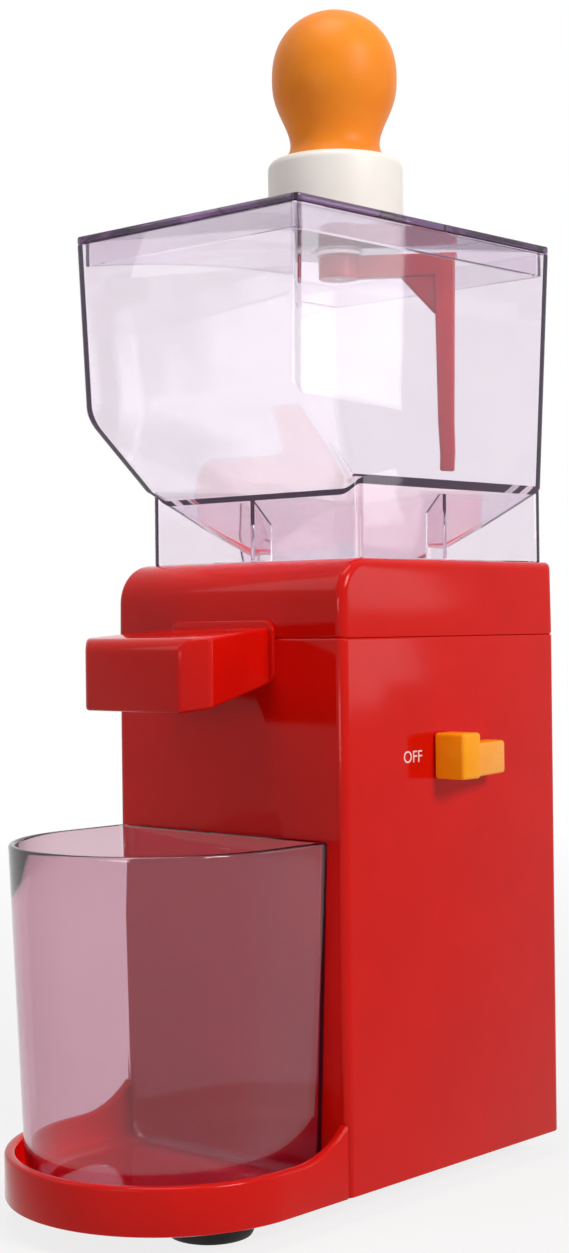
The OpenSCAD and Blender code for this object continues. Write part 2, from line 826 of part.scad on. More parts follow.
module grind_chamber() {
    color(cast) difference() {
        union() {
            rod(chamber_r + chamber_wall, chamber_low, chamber_top);
            rod(boss_r, boss_low, chamber_low + 1);
            each_at(cap_lugs) rod(4, chamber_top - 12, chamber_top);
            box([-duct_w - duct_t, -column_front - 3, chamber_floor - duct_t],
                [duct_w + duct_t, -chamber_r + 3, chamber_floor + duct_h + duct_t]);
        }
        rod(chamber_r, chamber_floor, chamber_top + 1);
        box([-duct_w, -column_front - 4, chamber_floor], [duct_w, -chamber_r + 4, chamber_floor + duct_h]);
        rod(main_bush_r, boss_low - 1, chamber_floor - seal_h - 1.5);
        rod(main_shaft_r + 3.5, boss_low, chamber_floor + 1);
        each_at(cap_lugs) rod(screw_r, chamber_top - 9, chamber_top + 1);
        each_at(chamber_holes) rod(screw_r, boss_low - 1, boss_low + 7.5);
    }
}

module chamber_cap() {
    color(cast) difference() {
        union() {
            rod(chamber_r + chamber_wall, chamber_top, chamber_top + cap_t);
            each_at(cap_lugs) rod(4, chamber_top, chamber_top + cap_t);
        }
        rod(throat_r, chamber_top - 1, chamber_top + cap_t + 1);
        each_at(cap_lugs) rod(screw_free_r, chamber_top - 1, chamber_top + cap_t + 1);
    }
}

module cap_screws() {
    color(steel) each_at(cap_lugs) translate([0, 0, chamber_top + cap_t]) screw(cap_t + 8);
}

module fixed_burr() {
    h = chamber_top - burr_low;
    color(steel) difference() {
        rod(fixed_burr_r, burr_low, chamber_top);
        translate([0, 0, burr_low - 0.01]) cylinder(r1 = fixed_low_r, r2 = outlet_r + 2.6, h = burr_h + 0.02);
        rod(outlet_r + 2.6, burr_low + burr_h, chamber_top + 1);
        for (a = [0 : 30 : 330]) rotate(a) translate([fixed_low_r - 2, 0, burr_low - 1])
            rotate([0, -28, 18]) translate([0, -0.8, 0]) cube([3, 1.6, burr_h + 1]);
    }
}

module rotor_burr() {
    top_r = 9;
    color(steel) difference() {
        translate([0, 0, burr_low]) cylinder(r1 = fixed_low_r - grind_gap, r2 = top_r, h = burr_h);
        rod(main_shaft_r, burr_low - 1, burr_low + burr_h + 1);
        for (a = [0 : 30 : 330]) rotate(a) translate([fixed_low_r - grind_gap - 1.2, 0, burr_low - 2])
            rotate([0, -52, -14]) translate([0, -0.8, 0]) cube([3, 1.6, burr_h + 12]);
    }
}

module feed_auger() {
    z = burr_low + burr_h;
    color(steel) difference() {
        union() {
            rod(main_shaft_r + 2, z, z + auger_h);
            for (a = [0, 180]) rotate(a) translate([0, 0, z]) linear_extrude(auger_h, twist = -70, slices = 6)
                translate([0, -1.2]) square([auger_r, 2.4]);
        }
        rod(main_shaft_r, z - 1, z + auger_h + 1);
    }
}

module discharge_wiper() {
    z = chamber_floor + 0.5;
    color(steel) difference() {
        union() {
            rod(main_shaft_r + 4, z, burr_low);
            for (a = [20 : 120 : 260]) rotate(a) box([0, -2, z], [chamber_r - 1, 2, burr_low - 1]);
        }
        rod(main_shaft_r, z - 1, burr_low + 1);
    }
}

module burr_nut() {
    z = burr_low + burr_h + auger_h;
    color(steel) difference() {
        translate([0, 0, z]) cylinder(r = nut_r, h = nut_h, $fn = 6);
        rod(main_shaft_r, z - 1, z + nut_h + 1);
    }
}

module main_shaft() {
    color(steel) rod(main_shaft_r, shaft_base, shaft_end);
}

module lower_shaft_bush() {
    color(brass) tube(main_bush_r, main_shaft_r + run, case_top, boss_low);
}

module upper_shaft_bush() {
    color(brass) tube(main_bush_r, main_shaft_r + run, boss_low, chamber_floor - seal_h - 1.5);
}

module shaft_seal() {
    color(black) tube(main_shaft_r + 3.5, main_shaft_r + run * 2,
        chamber_floor - seal_h - 1.5, chamber_floor);
}

// ---------- motor ----------

slot_in_r = armature_r + air_gap + 1.5;
slot_out_r = slot_in_r + 6.5;
coil_skin = 0.3;

// Part ring between two radii and two angles
module sector(r0, r1, a0, a1, z0, z1) {
    rotate(a0) translate([0, 0, z0]) rotate_extrude(angle = a1 - a0)
        translate([r0, 0]) square([r1 - r0, z1 - z0]);
}

module stator_core() {
    w = stator_w / 2;
    color(steel) difference() {
        block(-w, w, -w, w, core_low, core_top, 4);
        rod(armature_r + air_gap, core_low - 1, core_top + 1);
        for (a = [45 : 90 : 315]) sector(slot_in_r, slot_out_r, a - 13, a + 13, core_low - 1, core_top + 1);
        each_at(bolts) rod(bolt_r + 0.2, core_low - 1, core_top + 1);
    }
}

module field_coils() {
    r0 = slot_in_r + coil_skin;
    r1 = slot_out_r - coil_skin;
    color(copper) for (side = [0, 180]) rotate(side) {
        for (a = [45, 135]) sector(r0, r1, a - 11, a + 11, core_low - 7, core_top + 7);
        sector(r0, r1, 34, 146, core_top + 1, core_top + 7);
        sector(r0, r1, 34, 146, core_low - 7, core_low - 1);
    }
}

module motor_bracket() {
    w = stator_w / 2;
    color(cast) difference() {
        union() {
            block(-w, w, -w, w, bracket_low, bracket_top, 4);
            rod(bush_seat_r, bracket_low - 2, bracket_top + 3);
        }
        rod(motor_bush_r, bracket_top + 3 - motor_bush_h, bracket_top + 4);
        rod(motor_shaft_r + 1, bracket_low - 3, bracket_top + 4);
        each_at(bolts) rod(bolt_r, bracket_low - 1, bracket_top + 1);
        for (a = [0 : 45 : 315])
            sector(bush_seat_r + 4, bush_seat_r + 12, a - 7, a + 7, bracket_low - 1, bracket_top + 1);
    }
}

module spacer_sleeves() {
    color(steel) each_at(bolts) {
        tube(bolt_r + 1.8, bolt_r, bracket_top, core_low);
        tube(bolt_r + 1.8, bolt_r, core_top, case_low);
    }
}

module motor_bolts() {
    color(steel) each_at(bolts) {
        rod(bolt_r, bracket_low, case_floor);
        translate([0, 0, bracket_low - 2.5]) cylinder(r = bolt_r * 2, h = 2.5, $fn = 6);
    }
}

module brush_holders() {
    color(brass) for (side = [0, 180]) rotate(side) difference() {
        box([commutator_r + 3, -5.5, bracket_top], [stator_w / 2 - 1, 5.5, brush_z + brush_half + 2]);
        box([commutator_r + 2, -brush_half - slip, brush_z - brush_half - slip],
            [stator_w / 2 - 3, brush_half + slip, brush_z + brush_half + slip]);
    }
}

module carbon_brushes() {
    color(black) for (side = [0, 180]) rotate(side)
        box([commutator_r + slip, -brush_half, brush_z - brush_half],
            [stator_w / 2 - 5, brush_half, brush_z + brush_half]);
}

module upper_motor_bush() {
    color(brass) tube(motor_bush_r, motor_shaft_r + run,
        case_low - bush_drop, case_low - bush_drop + motor_bush_h);
}

module lower_motor_bush() {
    color(brass) tube(motor_bush_r, motor_shaft_r + run, bracket_top + 3 - motor_bush_h, bracket_top + 3);
}

module motor_shaft() {
    color(steel) rod(motor_shaft_r, shaft_low, stage_one_z + stage_one_h);
}

slots = 12;
slot_pitch = 360 / slots;

module armature_slots(r0, r1, half) {
    for (i = [0 : slots - 1]) rotate(i * slot_pitch) translate([r0, -half]) square([r1 - r0, half * 2]);
}

module armature_core() {
    color(steel) along_z(core_low, core_top) difference() {
        circle(armature_r);
        circle(motor_shaft_r);
        armature_slots(armature_r - 7, armature_r + 1, 1.6);
    }
}

module armature_windings() {
    out = armature_r - 1.2;
    color(copper) difference() {
        union() {
            rod(out, core_top, core_top + 7);
            rod(out, core_low - 6, core_low);
            along_z(core_low, core_top) armature_slots(armature_r - 6.5, out, 1.3);
        }
        rod(motor_shaft_r + 2, core_low - 7, core_top + 8);
    }
}

module commutator() {
    color(copper) along_z(commutator_z, commutator_z + commutator_h) difference() {
        circle(commutator_r);
        circle(motor_shaft_r);
        for (i = [0 : slots - 1]) rotate((i + 0.5) * slot_pitch)
            translate([commutator_r - 2, -0.25]) square([3, 0.5]);
    }
}

module cooling_fan() {
    blades = 9;
    color(black) difference() {
        union() {
            rod(fan_r, fan_z, fan_z + 1.6);
            rod(motor_shaft_r + 4, fan_z, fan_z + fan_h);
            for (i = [0 : blades - 1]) rotate(i * 360 / blades)
                translate([motor_shaft_r + 5, 0, fan_z]) rotate(28) translate([-4, -0.7, 0])
                    cube([19, 1.4, fan_h - 1]);
        }
        rod(motor_shaft_r, fan_z - 1, fan_z + fan_h + 1);
    }
}

module motor_pinion() {
    color(steel) difference() {
        gear(motor_teeth, 90, stage_one_z, stage_one_h);
        rod(motor_shaft_r, stage_one_z - 1, stage_one_z + stage_one_h + 1);
    }
}

// ---------- hopper and lid ----------

// Rise of a slope from the neck to the foot of a wall, per millimetre outwards
side_rise = (side_foot_z - neck_z) / (hopper_low_w - spigot_r);
front_rise = (front_foot_z - neck_z - 3) / (front_low - spigot_r);
back_rise = (side_foot_z - neck_z) / (back_low - spigot_r);
// Room that the funnel needs in the top cover
well_x = spigot_r + (top_z - neck_z) / side_rise + well_gap;
well_front = spigot_r + (top_z - neck_z - 3) / front_rise + well_gap + 2;
well_back = spigot_r + (top_z - neck_z) / back_rise + well_gap;

// Height of the inner face over the outer face of a slope
function skin(rise, t) = t * sqrt(1 + rise * rise);

// Half outline of a wall and its slope: rim, foot and neck, moved inwards by t
function wall_line(rim, low, foot_z, neck_at, rise, t) = [
    [rim - t, rim_z + (t > 0 ? 1 : 0)],
    [low - t, foot_z - t * rise + skin(rise, t)],
    [spigot_r - t, neck_at - t * rise + skin(rise, t)]
];
function mirrored(points) = [for (i = [len(points) - 1 : -1 : 0]) [-points[i][0], points[i][1]]];

module hopper_volume(t) {
    side = wall_line(hopper_rim_w, hopper_low_w, side_foot_z, neck_z, side_rise, t);
    front = wall_line(hopper_front, front_low, front_foot_z, neck_z + 3, front_rise, t);
    back = wall_line(hopper_back, back_low, side_foot_z, neck_z, back_rise, t);
    low = side[2][1];
    intersection() {
        along_y(-hopper_front, hopper_back) polygon(concat(side, mirrored(side)));
        along_x(-hopper_rim_w, hopper_rim_w)
            polygon(concat(back, [[spigot_r - t, low], [t - spigot_r, low]], mirrored(front)));
    }
}

module hopper() {
    color(clear) difference() {
        union() {
            hopper_volume(0);
            difference() {
                box([-hopper_low_w, -skirt_front, top_z], [hopper_low_w, skirt_back, side_foot_z]);
                box([-hopper_low_w + skirt_t, -skirt_front + skirt_t, top_z - 1],
                    [hopper_low_w - skirt_t, skirt_back - skirt_t, side_foot_z + 1]);
            }
            rod(spigot_r, spigot_low, neck_z + 6);
        }
        hopper_volume(clear_t);
        rod(outlet_r, spigot_low - 1, neck_z + 7);
    }
}

module hopper_lid() {
    in_t = clear_t + slip + 0.1;
    color(clear) difference() {
        union() {
            block(-hopper_rim_w, hopper_rim_w, -hopper_front, hopper_back, rim_z, lid_top, 1.5);
            difference() {
                block(-hopper_rim_w + in_t, hopper_rim_w - in_t, -hopper_front + in_t, hopper_back - in_t,
                    rim_z - lid_skirt_h, rim_z + 1, 1.5);
                block(-hopper_rim_w + in_t + 1.8, hopper_rim_w - in_t - 1.8,
                    -hopper_front + in_t + 1.8, hopper_back - in_t - 1.8, rim_z - lid_skirt_h - 1, rim_z, 1);
            }
            rod(boss_lid_r, rim_z, lid_top + lid_boss_h);
        }
        rod(bushing_r, rim_z - 1, lid_top + lid_boss_h + 1);
    }
}

module lid_bushing() {
    color(white) difference() {
        union() {
            rod(bushing_r, rim_z - flange_h, lid_top + lid_boss_h);
            rod(bushing_flange_r, rim_z - flange_h, rim_z);
        }
        rod(stir_shaft_r + run, rim_z - 3, lid_top + lid_boss_h + 1);
    }
}

// ---------- stirrer ----------

module stir_hub() {
    shoulder = 3;
    color(white) difference() {
        rotate_extrude() union() {
            translate([0, hub_low]) square([hub_r, hub_top - hub_low - shoulder]);
            translate([0, hub_low]) square([hub_r - shoulder, hub_top - hub_low]);
            translate([hub_r - shoulder, hub_top - shoulder]) circle(shoulder);
        }
        difference() {
            rod(hub_r - hub_wall, hub_low - 1, hub_top - 3);
            rod(stir_shaft_r + 3, hub_low + lid_boss_h + 1, hub_top);
            for (a = [0 : 60 : 300]) rotate(a)
                box([0, -0.8, hub_low + lid_boss_h + 1], [hub_r, 0.8, hub_top]);
        }
        rod(stir_shaft_r, hub_low - 1, hub_top + 1);
    }
}

// Radius of the knob at height z: an egg above its widest ring, a soft waist and a flared foot below
function knob_radius(z) =
    z > knob_mid ? knob_r * sqrt(max(0, 1 - pow((z - knob_mid) / (knob_top - knob_mid), 2.3)))
    : z > knob_neck
    ? neck_r + (knob_r - neck_r) * (1 + cos(180 * pow((knob_mid - z) / (knob_mid - knob_neck), 1.25))) / 2
    : neck_r + (knob_foot_r - neck_r) * pow((knob_neck - z) / (knob_neck - knob_low), 2);

module stir_knob() {
    steps = 26;
    levels = [for (i = [0 : steps]) knob_low + knob_h * (1 - pow(1 - i / steps, 1.6))];
    color(orange) difference() {
        rotate_extrude() polygon(concat([[0, knob_low]], [for (z = levels) [knob_radius(z), z]]));
        rod(stir_shaft_r, knob_low - 1, shaft_top);
    }
}

module stir_shaft() {
    color(steel) difference() {
        rod(stir_shaft_r, arm_low + 1, shaft_top);
        rod(screw_r, arm_low, arm_low + 9);
    }
}

module stir_paddle() {
    color(red) rotate(paddle_angle) difference() {
        union() {
            rod(stir_shaft_r + 3, arm_low, arm_top);
            box([0, -arm_w / 2 + 1, arm_low], [paddle_r, arm_w / 2 - 1, arm_top]);
            // upright bar, narrower at its foot
            along_y(-2.5, 2.5) polygon([
                [paddle_r - bar_top_w / 2, arm_top], [paddle_r - bar_low_w / 2, bar_low_z],
                [paddle_r + bar_low_w / 2, bar_low_z], [paddle_r + bar_top_w / 2, arm_top]
            ]);
            // gusset under the arm
            along_y(-1.5, 1.5) polygon([
                [paddle_r - 16, arm_low + 0.5], [paddle_r, arm_low + 0.5], [paddle_r, arm_low - 13],
                [paddle_r - bar_top_w / 2, arm_low - 13]
            ]);
        }
        rod(stir_shaft_r, arm_low + 1, arm_top + 1);
        rod(screw_free_r, arm_low - 1, arm_low + 2);
    }
}

module paddle_screw() {
    color(steel) translate([0, 0, arm_low]) mirror([0, 0, 1]) screw(8);
}

// ---------- cup ----------

// Half outline of the cup, moved inwards by t, from the axis out and up
function cup_line(t) = let (
    low_r = cup_foot_r - t, z0 = cup_low + t, z1 = cup_rim + (t > 0 ? 1 : 0),
    e = max(2, cup_edge_r - t)
) concat(
    [[0, z0]],
    [for (a = [-90 : 15 : 0]) [low_r - e + e * cos(a), z0 + e + e * sin(a)]],
    [[cup_rim_r - t, z1], [0, z1]]
);

module cup_volume(t) {
    intersection() {
        union() {
            translate([0, -cup_centre, 0]) rotate_extrude() polygon(cup_line(t));
            along_y(-cup_centre, -cup_back - t) {
                polygon(cup_line(t));
                mirror([1, 0]) polygon(cup_line(t));
            }
        }
        block(-cup_rim_r + t, cup_rim_r - t, -cup_centre - cup_rim_r, -cup_back - t, cup_low, cup_rim + 2,
            cup_corner_r - t);
    }
}

module cup() {
    color(clear) difference() {
        cup_volume(0);
        cup_volume(cup_wall);
    }
}

column_shell();
top_cover();
base_tray();
spout();
front_feet();
rear_feet();
foot_screws();
base_screws();
cover_screws();
drive_screws();
spout_screws();
cord_gland();
gland_nut();
slide_switch();
switch_screws();
switch_slider();
rubber_mounts();
gearbox_case();
gearbox_cover();
gearbox_screws();
chamber_screws();
grind_chamber();
chamber_cap();
cap_screws();
fixed_burr();
lower_shaft_bush();
upper_shaft_bush();
shaft_seal();
stator_core();
field_coils();
motor_bracket();
spacer_sleeves();
motor_bolts();
brush_holders();
carbon_brushes();
upper_motor_bush();
lower_motor_bush();
idler_pin();
motor_shaft();
armature_core();
armature_windings();
commutator();
cooling_fan();
motor_pinion();
idler_gear();
main_shaft();
output_gear();
rotor_burr();
feed_auger();
discharge_wiper();
burr_nut();
hopper();
hopper_lid();
lid_bushing();
stir_hub();
stir_knob();
stir_shaft();
stir_paddle();
paddle_screw();
cup();
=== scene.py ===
from math import atan, cos, pi, radians, sin, sqrt, tan

import bmesh
import bpy
from mathutils import Matrix, Vector


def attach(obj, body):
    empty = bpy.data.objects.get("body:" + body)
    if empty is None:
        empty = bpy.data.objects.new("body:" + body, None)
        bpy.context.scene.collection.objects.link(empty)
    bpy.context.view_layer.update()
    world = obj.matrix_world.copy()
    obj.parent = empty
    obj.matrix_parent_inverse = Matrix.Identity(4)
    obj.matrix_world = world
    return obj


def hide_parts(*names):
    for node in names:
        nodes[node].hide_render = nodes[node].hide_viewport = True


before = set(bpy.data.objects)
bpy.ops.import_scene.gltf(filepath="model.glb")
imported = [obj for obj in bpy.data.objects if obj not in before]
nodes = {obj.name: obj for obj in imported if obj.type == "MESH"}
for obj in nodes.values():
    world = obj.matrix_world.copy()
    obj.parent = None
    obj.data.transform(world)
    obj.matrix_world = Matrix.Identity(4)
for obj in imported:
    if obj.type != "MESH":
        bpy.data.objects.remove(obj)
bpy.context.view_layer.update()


# ---------------------------------------------------------------- camera and studio
# The machine stands on a pale floor in front of white, seen from its front right corner at the
# height of the spout. Large soft lamps light its right side, front and top, and two weaker ones,
# behind on the right and low in front, draw the bright lines along its edges.
mm = 0.001


def add(tree, kind, sockets=None, **settings):
    """A node with its settings and sockets filled in; a socket is joined where it gets another's output."""
    node = tree.nodes.new(kind)
    for key, value in settings.items():
        setattr(node, key, value)
    for key, value in (sockets or {}).items():
        if isinstance(value, bpy.types.NodeSocket):
            tree.links.new(value, node.inputs[key])
        else:
            node.inputs[key].default_value = value
    return node


turn, tip, lean = radians(42.822), radians(0.096), radians(-0.663)
camera_place, focal_length, sensor_width = (0.46007, -0.52510, 0.18668), 57.67, 36
ahead = Vector((-sin(turn) * cos(tip), cos(turn) * cos(tip), -sin(tip)))
level_right = Vector((cos(turn), sin(turn), 0))
level_up = level_right.cross(ahead)
right = cos(lean) * level_right + sin(lean) * level_up
up = -sin(lean) * level_right + cos(lean) * level_up
lens = bpy.data.cameras.new("camera")
lens.lens = focal_length
lens.sensor_width = sensor_width
lens.clip_start = 0.01
camera = bpy.data.objects.new("camera", lens)
camera.matrix_world = Matrix.Translation(camera_place) @ Matrix((right, up, -ahead)).transposed().to_4x4()
bpy.context.scene.collection.objects.link(camera)
bpy.context.scene.camera = camera
bpy.context.scene.view_settings.view_transform = "Standard"


def calc(tree, operation, a, b=0.5):
    """One step of arithmetic on sockets or numbers."""
    return add(tree, "ShaderNodeMath", {0: a, 1: b}, operation=operation).outputs[0]


def blended(tree, share, first, second):
    """A share of the second shader over the first."""
    return add(tree, "ShaderNodeMixShader", {0: share, 1: first, 2: second}).outputs[0]


def meets_white(tree):
    """1 on rays from the eye, off a gloss or through a clear piece, which meet plain white behind the machine."""
    ray = add(tree, "ShaderNodeLightPath").outputs
    direct = calc(tree, "MAXIMUM", ray["Is Camera Ray"], ray["Is Glossy Ray"])
    return calc(tree, "MAXIMUM", direct, ray["Is Transmission Ray"])


world = bpy.data.worlds.new("white_studio")
bpy.context.scene.world = world
world.use_nodes = True
sky = world.node_tree
sky.nodes.clear()
soft = add(sky, "ShaderNodeBackground", {"Color": (0.95, 0.97, 1, 1), "Strength": 0.09})
white = add(sky, "ShaderNodeBackground", {"Color": (1, 1, 1, 1), "Strength": 1})
add(sky, "ShaderNodeOutputWorld", {"Surface": blended(sky, meets_white(sky), soft.outputs[0], white.outputs[0])})


def lamp(name, place, target, width, height, power, colour=(1, 1, 1)):
    """A soft box that shines from its place at a target."""
    light = bpy.data.lights.new(name, "AREA")
    light.shape = "RECTANGLE"
    light.size, light.size_y = width, height
    light.energy = power
    light.color = colour
    box = bpy.data.objects.new(name, light)
    away = (Vector(place) - Vector(target)).normalized()
    box.matrix_world = Matrix.Translation(place) @ away.to_track_quat("Z", "Y").to_matrix().to_4x4()
    box.visible_camera = False
    bpy.context.scene.collection.objects.link(box)


waist = (0, 0, 0.2)
lamp("lamp_right", (1.8, 0, 1.2), waist, 0.6, 0.6, 27, (1, 0.985, 0.96))
lamp("lamp_front", (-0.9, -1.05, 1.2), waist, 0.6, 0.9, 2.9)
lamp("lamp_above", (0.1, -0.3, 1.9), waist, 0.9, 0.9, 14)
lamp("lamp_back", (1.66, 1.443, 0.63), (0, 0, 0.63), 0.5, 0.66, 2.6)
lamp("lamp_edge", (0.4, -1.9, 0.3), waist, 0.8, 0.22, 3.6)


def blank_finish(name):
    """A material with an empty tree, and the place on the piece that its patterns read."""
    finish = bpy.data.materials.new(name)
    finish.use_nodes = True
    tree = finish.node_tree
    tree.nodes.clear()
    return finish, tree, add(tree, "ShaderNodeTexCoord").outputs["Object"]


def noise(tree, at, scale, detail, rough=0.5, twist=0.0):
    """Cloudy variation over a piece, mostly from 0.3 to 0.7."""
    return add(tree, "ShaderNodeTexNoise", {
        "Vector": at, "Scale": scale, "Detail": detail, "Roughness": rough, "Distortion": twist}).outputs[0]


def mapped(tree, value, low, high, to_low=0.0, to_high=1.0):
    """A value that runs from low to high, made to run from one amount to another."""
    return add(tree, "ShaderNodeMapRange", {
        "Value": value, "From Min": low, "From Max": high, "To Min": to_low, "To Max": to_high}).outputs[0]


paper, sweep, spot = blank_finish("white_paper")
span = add(sweep, "ShaderNodeVectorMath", {0: spot}, operation="LENGTH").outputs["Value"]
share = calc(sweep, "MULTIPLY", meets_white(sweep), mapped(sweep, span, 0.3, 1.1, 0.82, 1))
tone = mapped(sweep, noise(sweep, spot, 700, 3), 0, 1, 0.62, 0.68)
matt = add(sweep, "ShaderNodeBsdfDiffuse", {"Color": tone})
glow = add(sweep, "ShaderNodeEmission", {"Color": (1, 1, 1, 1), "Strength": 1})
add(sweep, "ShaderNodeOutputMaterial", {"Surface": blended(sweep, share, matt.outputs[0], glow.outputs[0])})
sheet = bpy.data.meshes.new("floor")
floor_half = 5
ends = ((-1, -1), (1, -1), (1, 1), (-1, 1))
sheet.from_pydata([(x * floor_half, y * floor_half, 0) for x, y in ends], [], [(0, 1, 2, 3)])
floor = bpy.data.objects.new("floor", sheet)
floor.data.materials.append(paper)
bpy.context.scene.collection.objects.link(floor)


# ---------------------------------------------------------------- tray and base plate
# One red moulding that the whole machine stands on: a plate under the column, and ahead of it a
# round tray whose rim is low about the cup and sweeps up to the column. Four screws hold it to
# the column's corner posts, and slots in the plate let the motor's air in.
def solid(name, points, faces, crease=32):
    """A closed mesh in millimetres, smooth but where it bends by more than the crease angle."""
    mesh = bpy.data.meshes.new(name)
    mesh.from_pydata([[c * mm for c in point] for point in points], [], faces)
    skin = bmesh.new()
    skin.from_mesh(mesh)
    bmesh.ops.remove_doubles(skin, verts=skin.verts, dist=1e-7)
    bmesh.ops.dissolve_degenerate(skin, edges=skin.edges, dist=1e-7)
    bmesh.ops.recalc_face_normals(skin, faces=skin.faces)
    skin.to_mesh(mesh)
    skin.free()
    mesh.shade_smooth()
    mesh.set_sharp_from_angle(angle=radians(crease))
    piece = bpy.data.objects.new(name, mesh)
    bpy.context.scene.collection.objects.link(piece)
    return piece


def lofted(name, rings, ends=True, crease=32):
    """A skin over rings of equal length, closed by flat ends or by joining the last ring to the first."""
    n, count = len(rings[0]), len(rings)
    faces = []
    for i in range(count - 1 if ends else count):
        j = (i + 1) % count
        faces += [(i * n + k, i * n + (k + 1) % n, j * n + (k + 1) % n, j * n + k) for k in range(n)]
    if ends:
        faces += [tuple(range(n)), tuple((count - 1) * n + k for k in range(n))]
    return solid(name, [point for ring in rings for point in ring], faces, crease)


def rounded(x0, x1, y0, y1, r, z, n=6):
    """The ring of a rectangle with round corners at height z."""
    corners = ((x1 - r, y1 - r, 0), (x0 + r, y1 - r, 90), (x0 + r, y0 + r, 180), (x1 - r, y0 + r, 270))
    return [
        (cx + r * cos(radians(a + 90 * i / n)), cy + r * sin(radians(a + 90 * i / n)), z)
        for cx, cy, a in corners for i in range(n + 1)
    ]


def slab(x0, x1, y0, y1, z0, z1, r=0.5, n=6):
    """A plain block with round upright edges, as a tool or a rib of a larger piece."""
    return lofted("slab", [rounded(x0, x1, y0, y1, r, z, n) for z in (z0, z1)])


def turned(name, profile, centre=(0, 0), steps=64, crease=32):
    """A closed outline of radius and height, turned round an upright axis."""
    turns = [2 * pi * i / steps for i in range(steps)]
    rings = [[(centre[0] + r * cos(a), centre[1] + r * sin(a), z) for r, z in profile] for a in turns]
    return lofted(name, rings, ends=False, crease=crease)


def rod(r, z0, z1, centre=(0, 0), steps=32):
    """A plain round tool or boss."""
    return turned("rod", [(0, z0), (r, z0), (r, z1), (0, z1)], centre, steps)


def laid(piece, direction, place=(0, 0, 0)):
    """Turns a piece made along +Z to another direction, then moves it to its place."""
    swing = Vector((0, 0, 1)).rotation_difference(Vector(direction)).to_matrix().to_4x4()
    piece.data.transform(Matrix.Translation(Vector(place) * mm) @ swing)
    return piece


def settle(piece, crease=32):
    """Turns a piece with its modifiers into a plain mesh, without the twin faces that a join can leave."""
    whole = piece.evaluated_get(bpy.context.evaluated_depsgraph_get())
    mesh = bpy.data.meshes.new_from_object(whole)
    mesh.validate()
    piece.modifiers.clear()
    piece.data = mesh
    mesh.shade_smooth()
    mesh.set_sharp_from_angle(angle=radians(crease))
    return piece


def worked(piece, operation, *tools, crease=32):
    """Joins tools to a piece or cuts them out of it, one after another, and clears them away."""
    for tool in tools:
        step = piece.modifiers.new(operation, "BOOLEAN")
        step.operation, step.solver, step.object = operation, "EXACT", tool
        settle(piece, crease)
        bpy.data.objects.remove(tool)
    return piece


def eased(piece, width, segments=3, angle=35):
    """Rounds every edge that is sharper than the angle, as a mould does."""
    step = piece.modifiers.new("eased", "BEVEL")
    step.width, step.segments = width * mm, segments
    step.limit_method, step.angle_limit = "ANGLE", radians(angle)
    step.use_clamp_overlap = False
    step.harden_normals = False
    return settle(piece, 40)


def tinted(tree, share, deep, light):
    """A colour that runs from a deep tone to a light one."""
    return add(tree, "ShaderNodeMix", {0: share, 6: (*deep, 1), 7: (*light, 1)}, data_type="RGBA").outputs[2]


def bump(tree, height, distance, **below):
    """Raises the surface by a height, over the surface below if one is given."""
    return add(tree, "ShaderNodeBump", {"Height": height, "Distance": distance, "Strength": 1, **below}).outputs[0]


def plastic(name, light, deep, rough, gloss=0.3, patch=30, grain=1400, dent=2e-6, sway=6e-5):
    """Moulded plastic: colour that drifts a little, fine grain in gloss and surface, and a slow sway of the face."""
    finish, tree, at = blank_finish(name)
    drift = mapped(tree, noise(tree, at, patch, 4, 0.55), 0.3, 0.7)
    fine = noise(tree, at, grain, 5, 0.6)
    wiped = noise(tree, at, 55, 3, twist=1.2)
    dull = mapped(tree, calc(tree, "MULTIPLY", fine, wiped), 0.12, 0.4, rough * 0.8, rough * 1.25)
    wave = bump(tree, noise(tree, at, 14, 1), sway)
    body = add(tree, "ShaderNodeBsdfPrincipled", {
        "Base Color": tinted(tree, drift, deep, light), "Roughness": dull,
        "Normal": bump(tree, fine, dent, Normal=wave), "Specular IOR Level": gloss})
    add(tree, "ShaderNodeOutputMaterial", {"Surface": body.outputs[0]})
    return finish


def fit(piece, body, slot, finish, *stands_for):
    """Gives a piece its finish and its body, and hides the plain nodes that it stands for."""
    piece.data.materials.clear()
    piece.data.materials.append(finish)
    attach(piece, body)
    if stands_for:
        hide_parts(*stands_for)
    return piece


red = plastic("red_moulding", (0.66, 0.0055, 0.002), (0.6, 0.004, 0.0015), 0.11, gloss=0.13)

half_w, column_front, column_back = 51.5, 58, 55
tray_centre, tray_wall, rim_z, sweep_start, sweep_r = 85.5, 3.5, 22.7, 79, 30.7
floor_z, plate_top, rim_r = 8, 11, 1.2
plate_w, plate_front, plate_back = 48.7, 64, 52.2
pass_r, pilot_r, head_hole_r = 1.8, 1.5, 3.5


def tray_plan(inset):
    """The tray's outline from its right back end round the front to its left back end."""
    r = half_w - inset
    straight = [-column_front - (tray_centre - column_front) * (i / 14) for i in range(14)]
    arc = [(r * cos(radians(-180 * i / 60)), -tray_centre + r * sin(radians(-180 * i / 60))) for i in range(61)]
    return [(r, y) for y in straight] + arc + [(-r, y) for y in reversed(straight)]


def rim_height(y):
    """Top of the rim at distance y: level about the cup, then an arc up to the column."""
    return rim_z + (sweep_r - sqrt(max(0, sweep_r ** 2 - (y + sweep_start) ** 2)) if y > -sweep_start else 0)


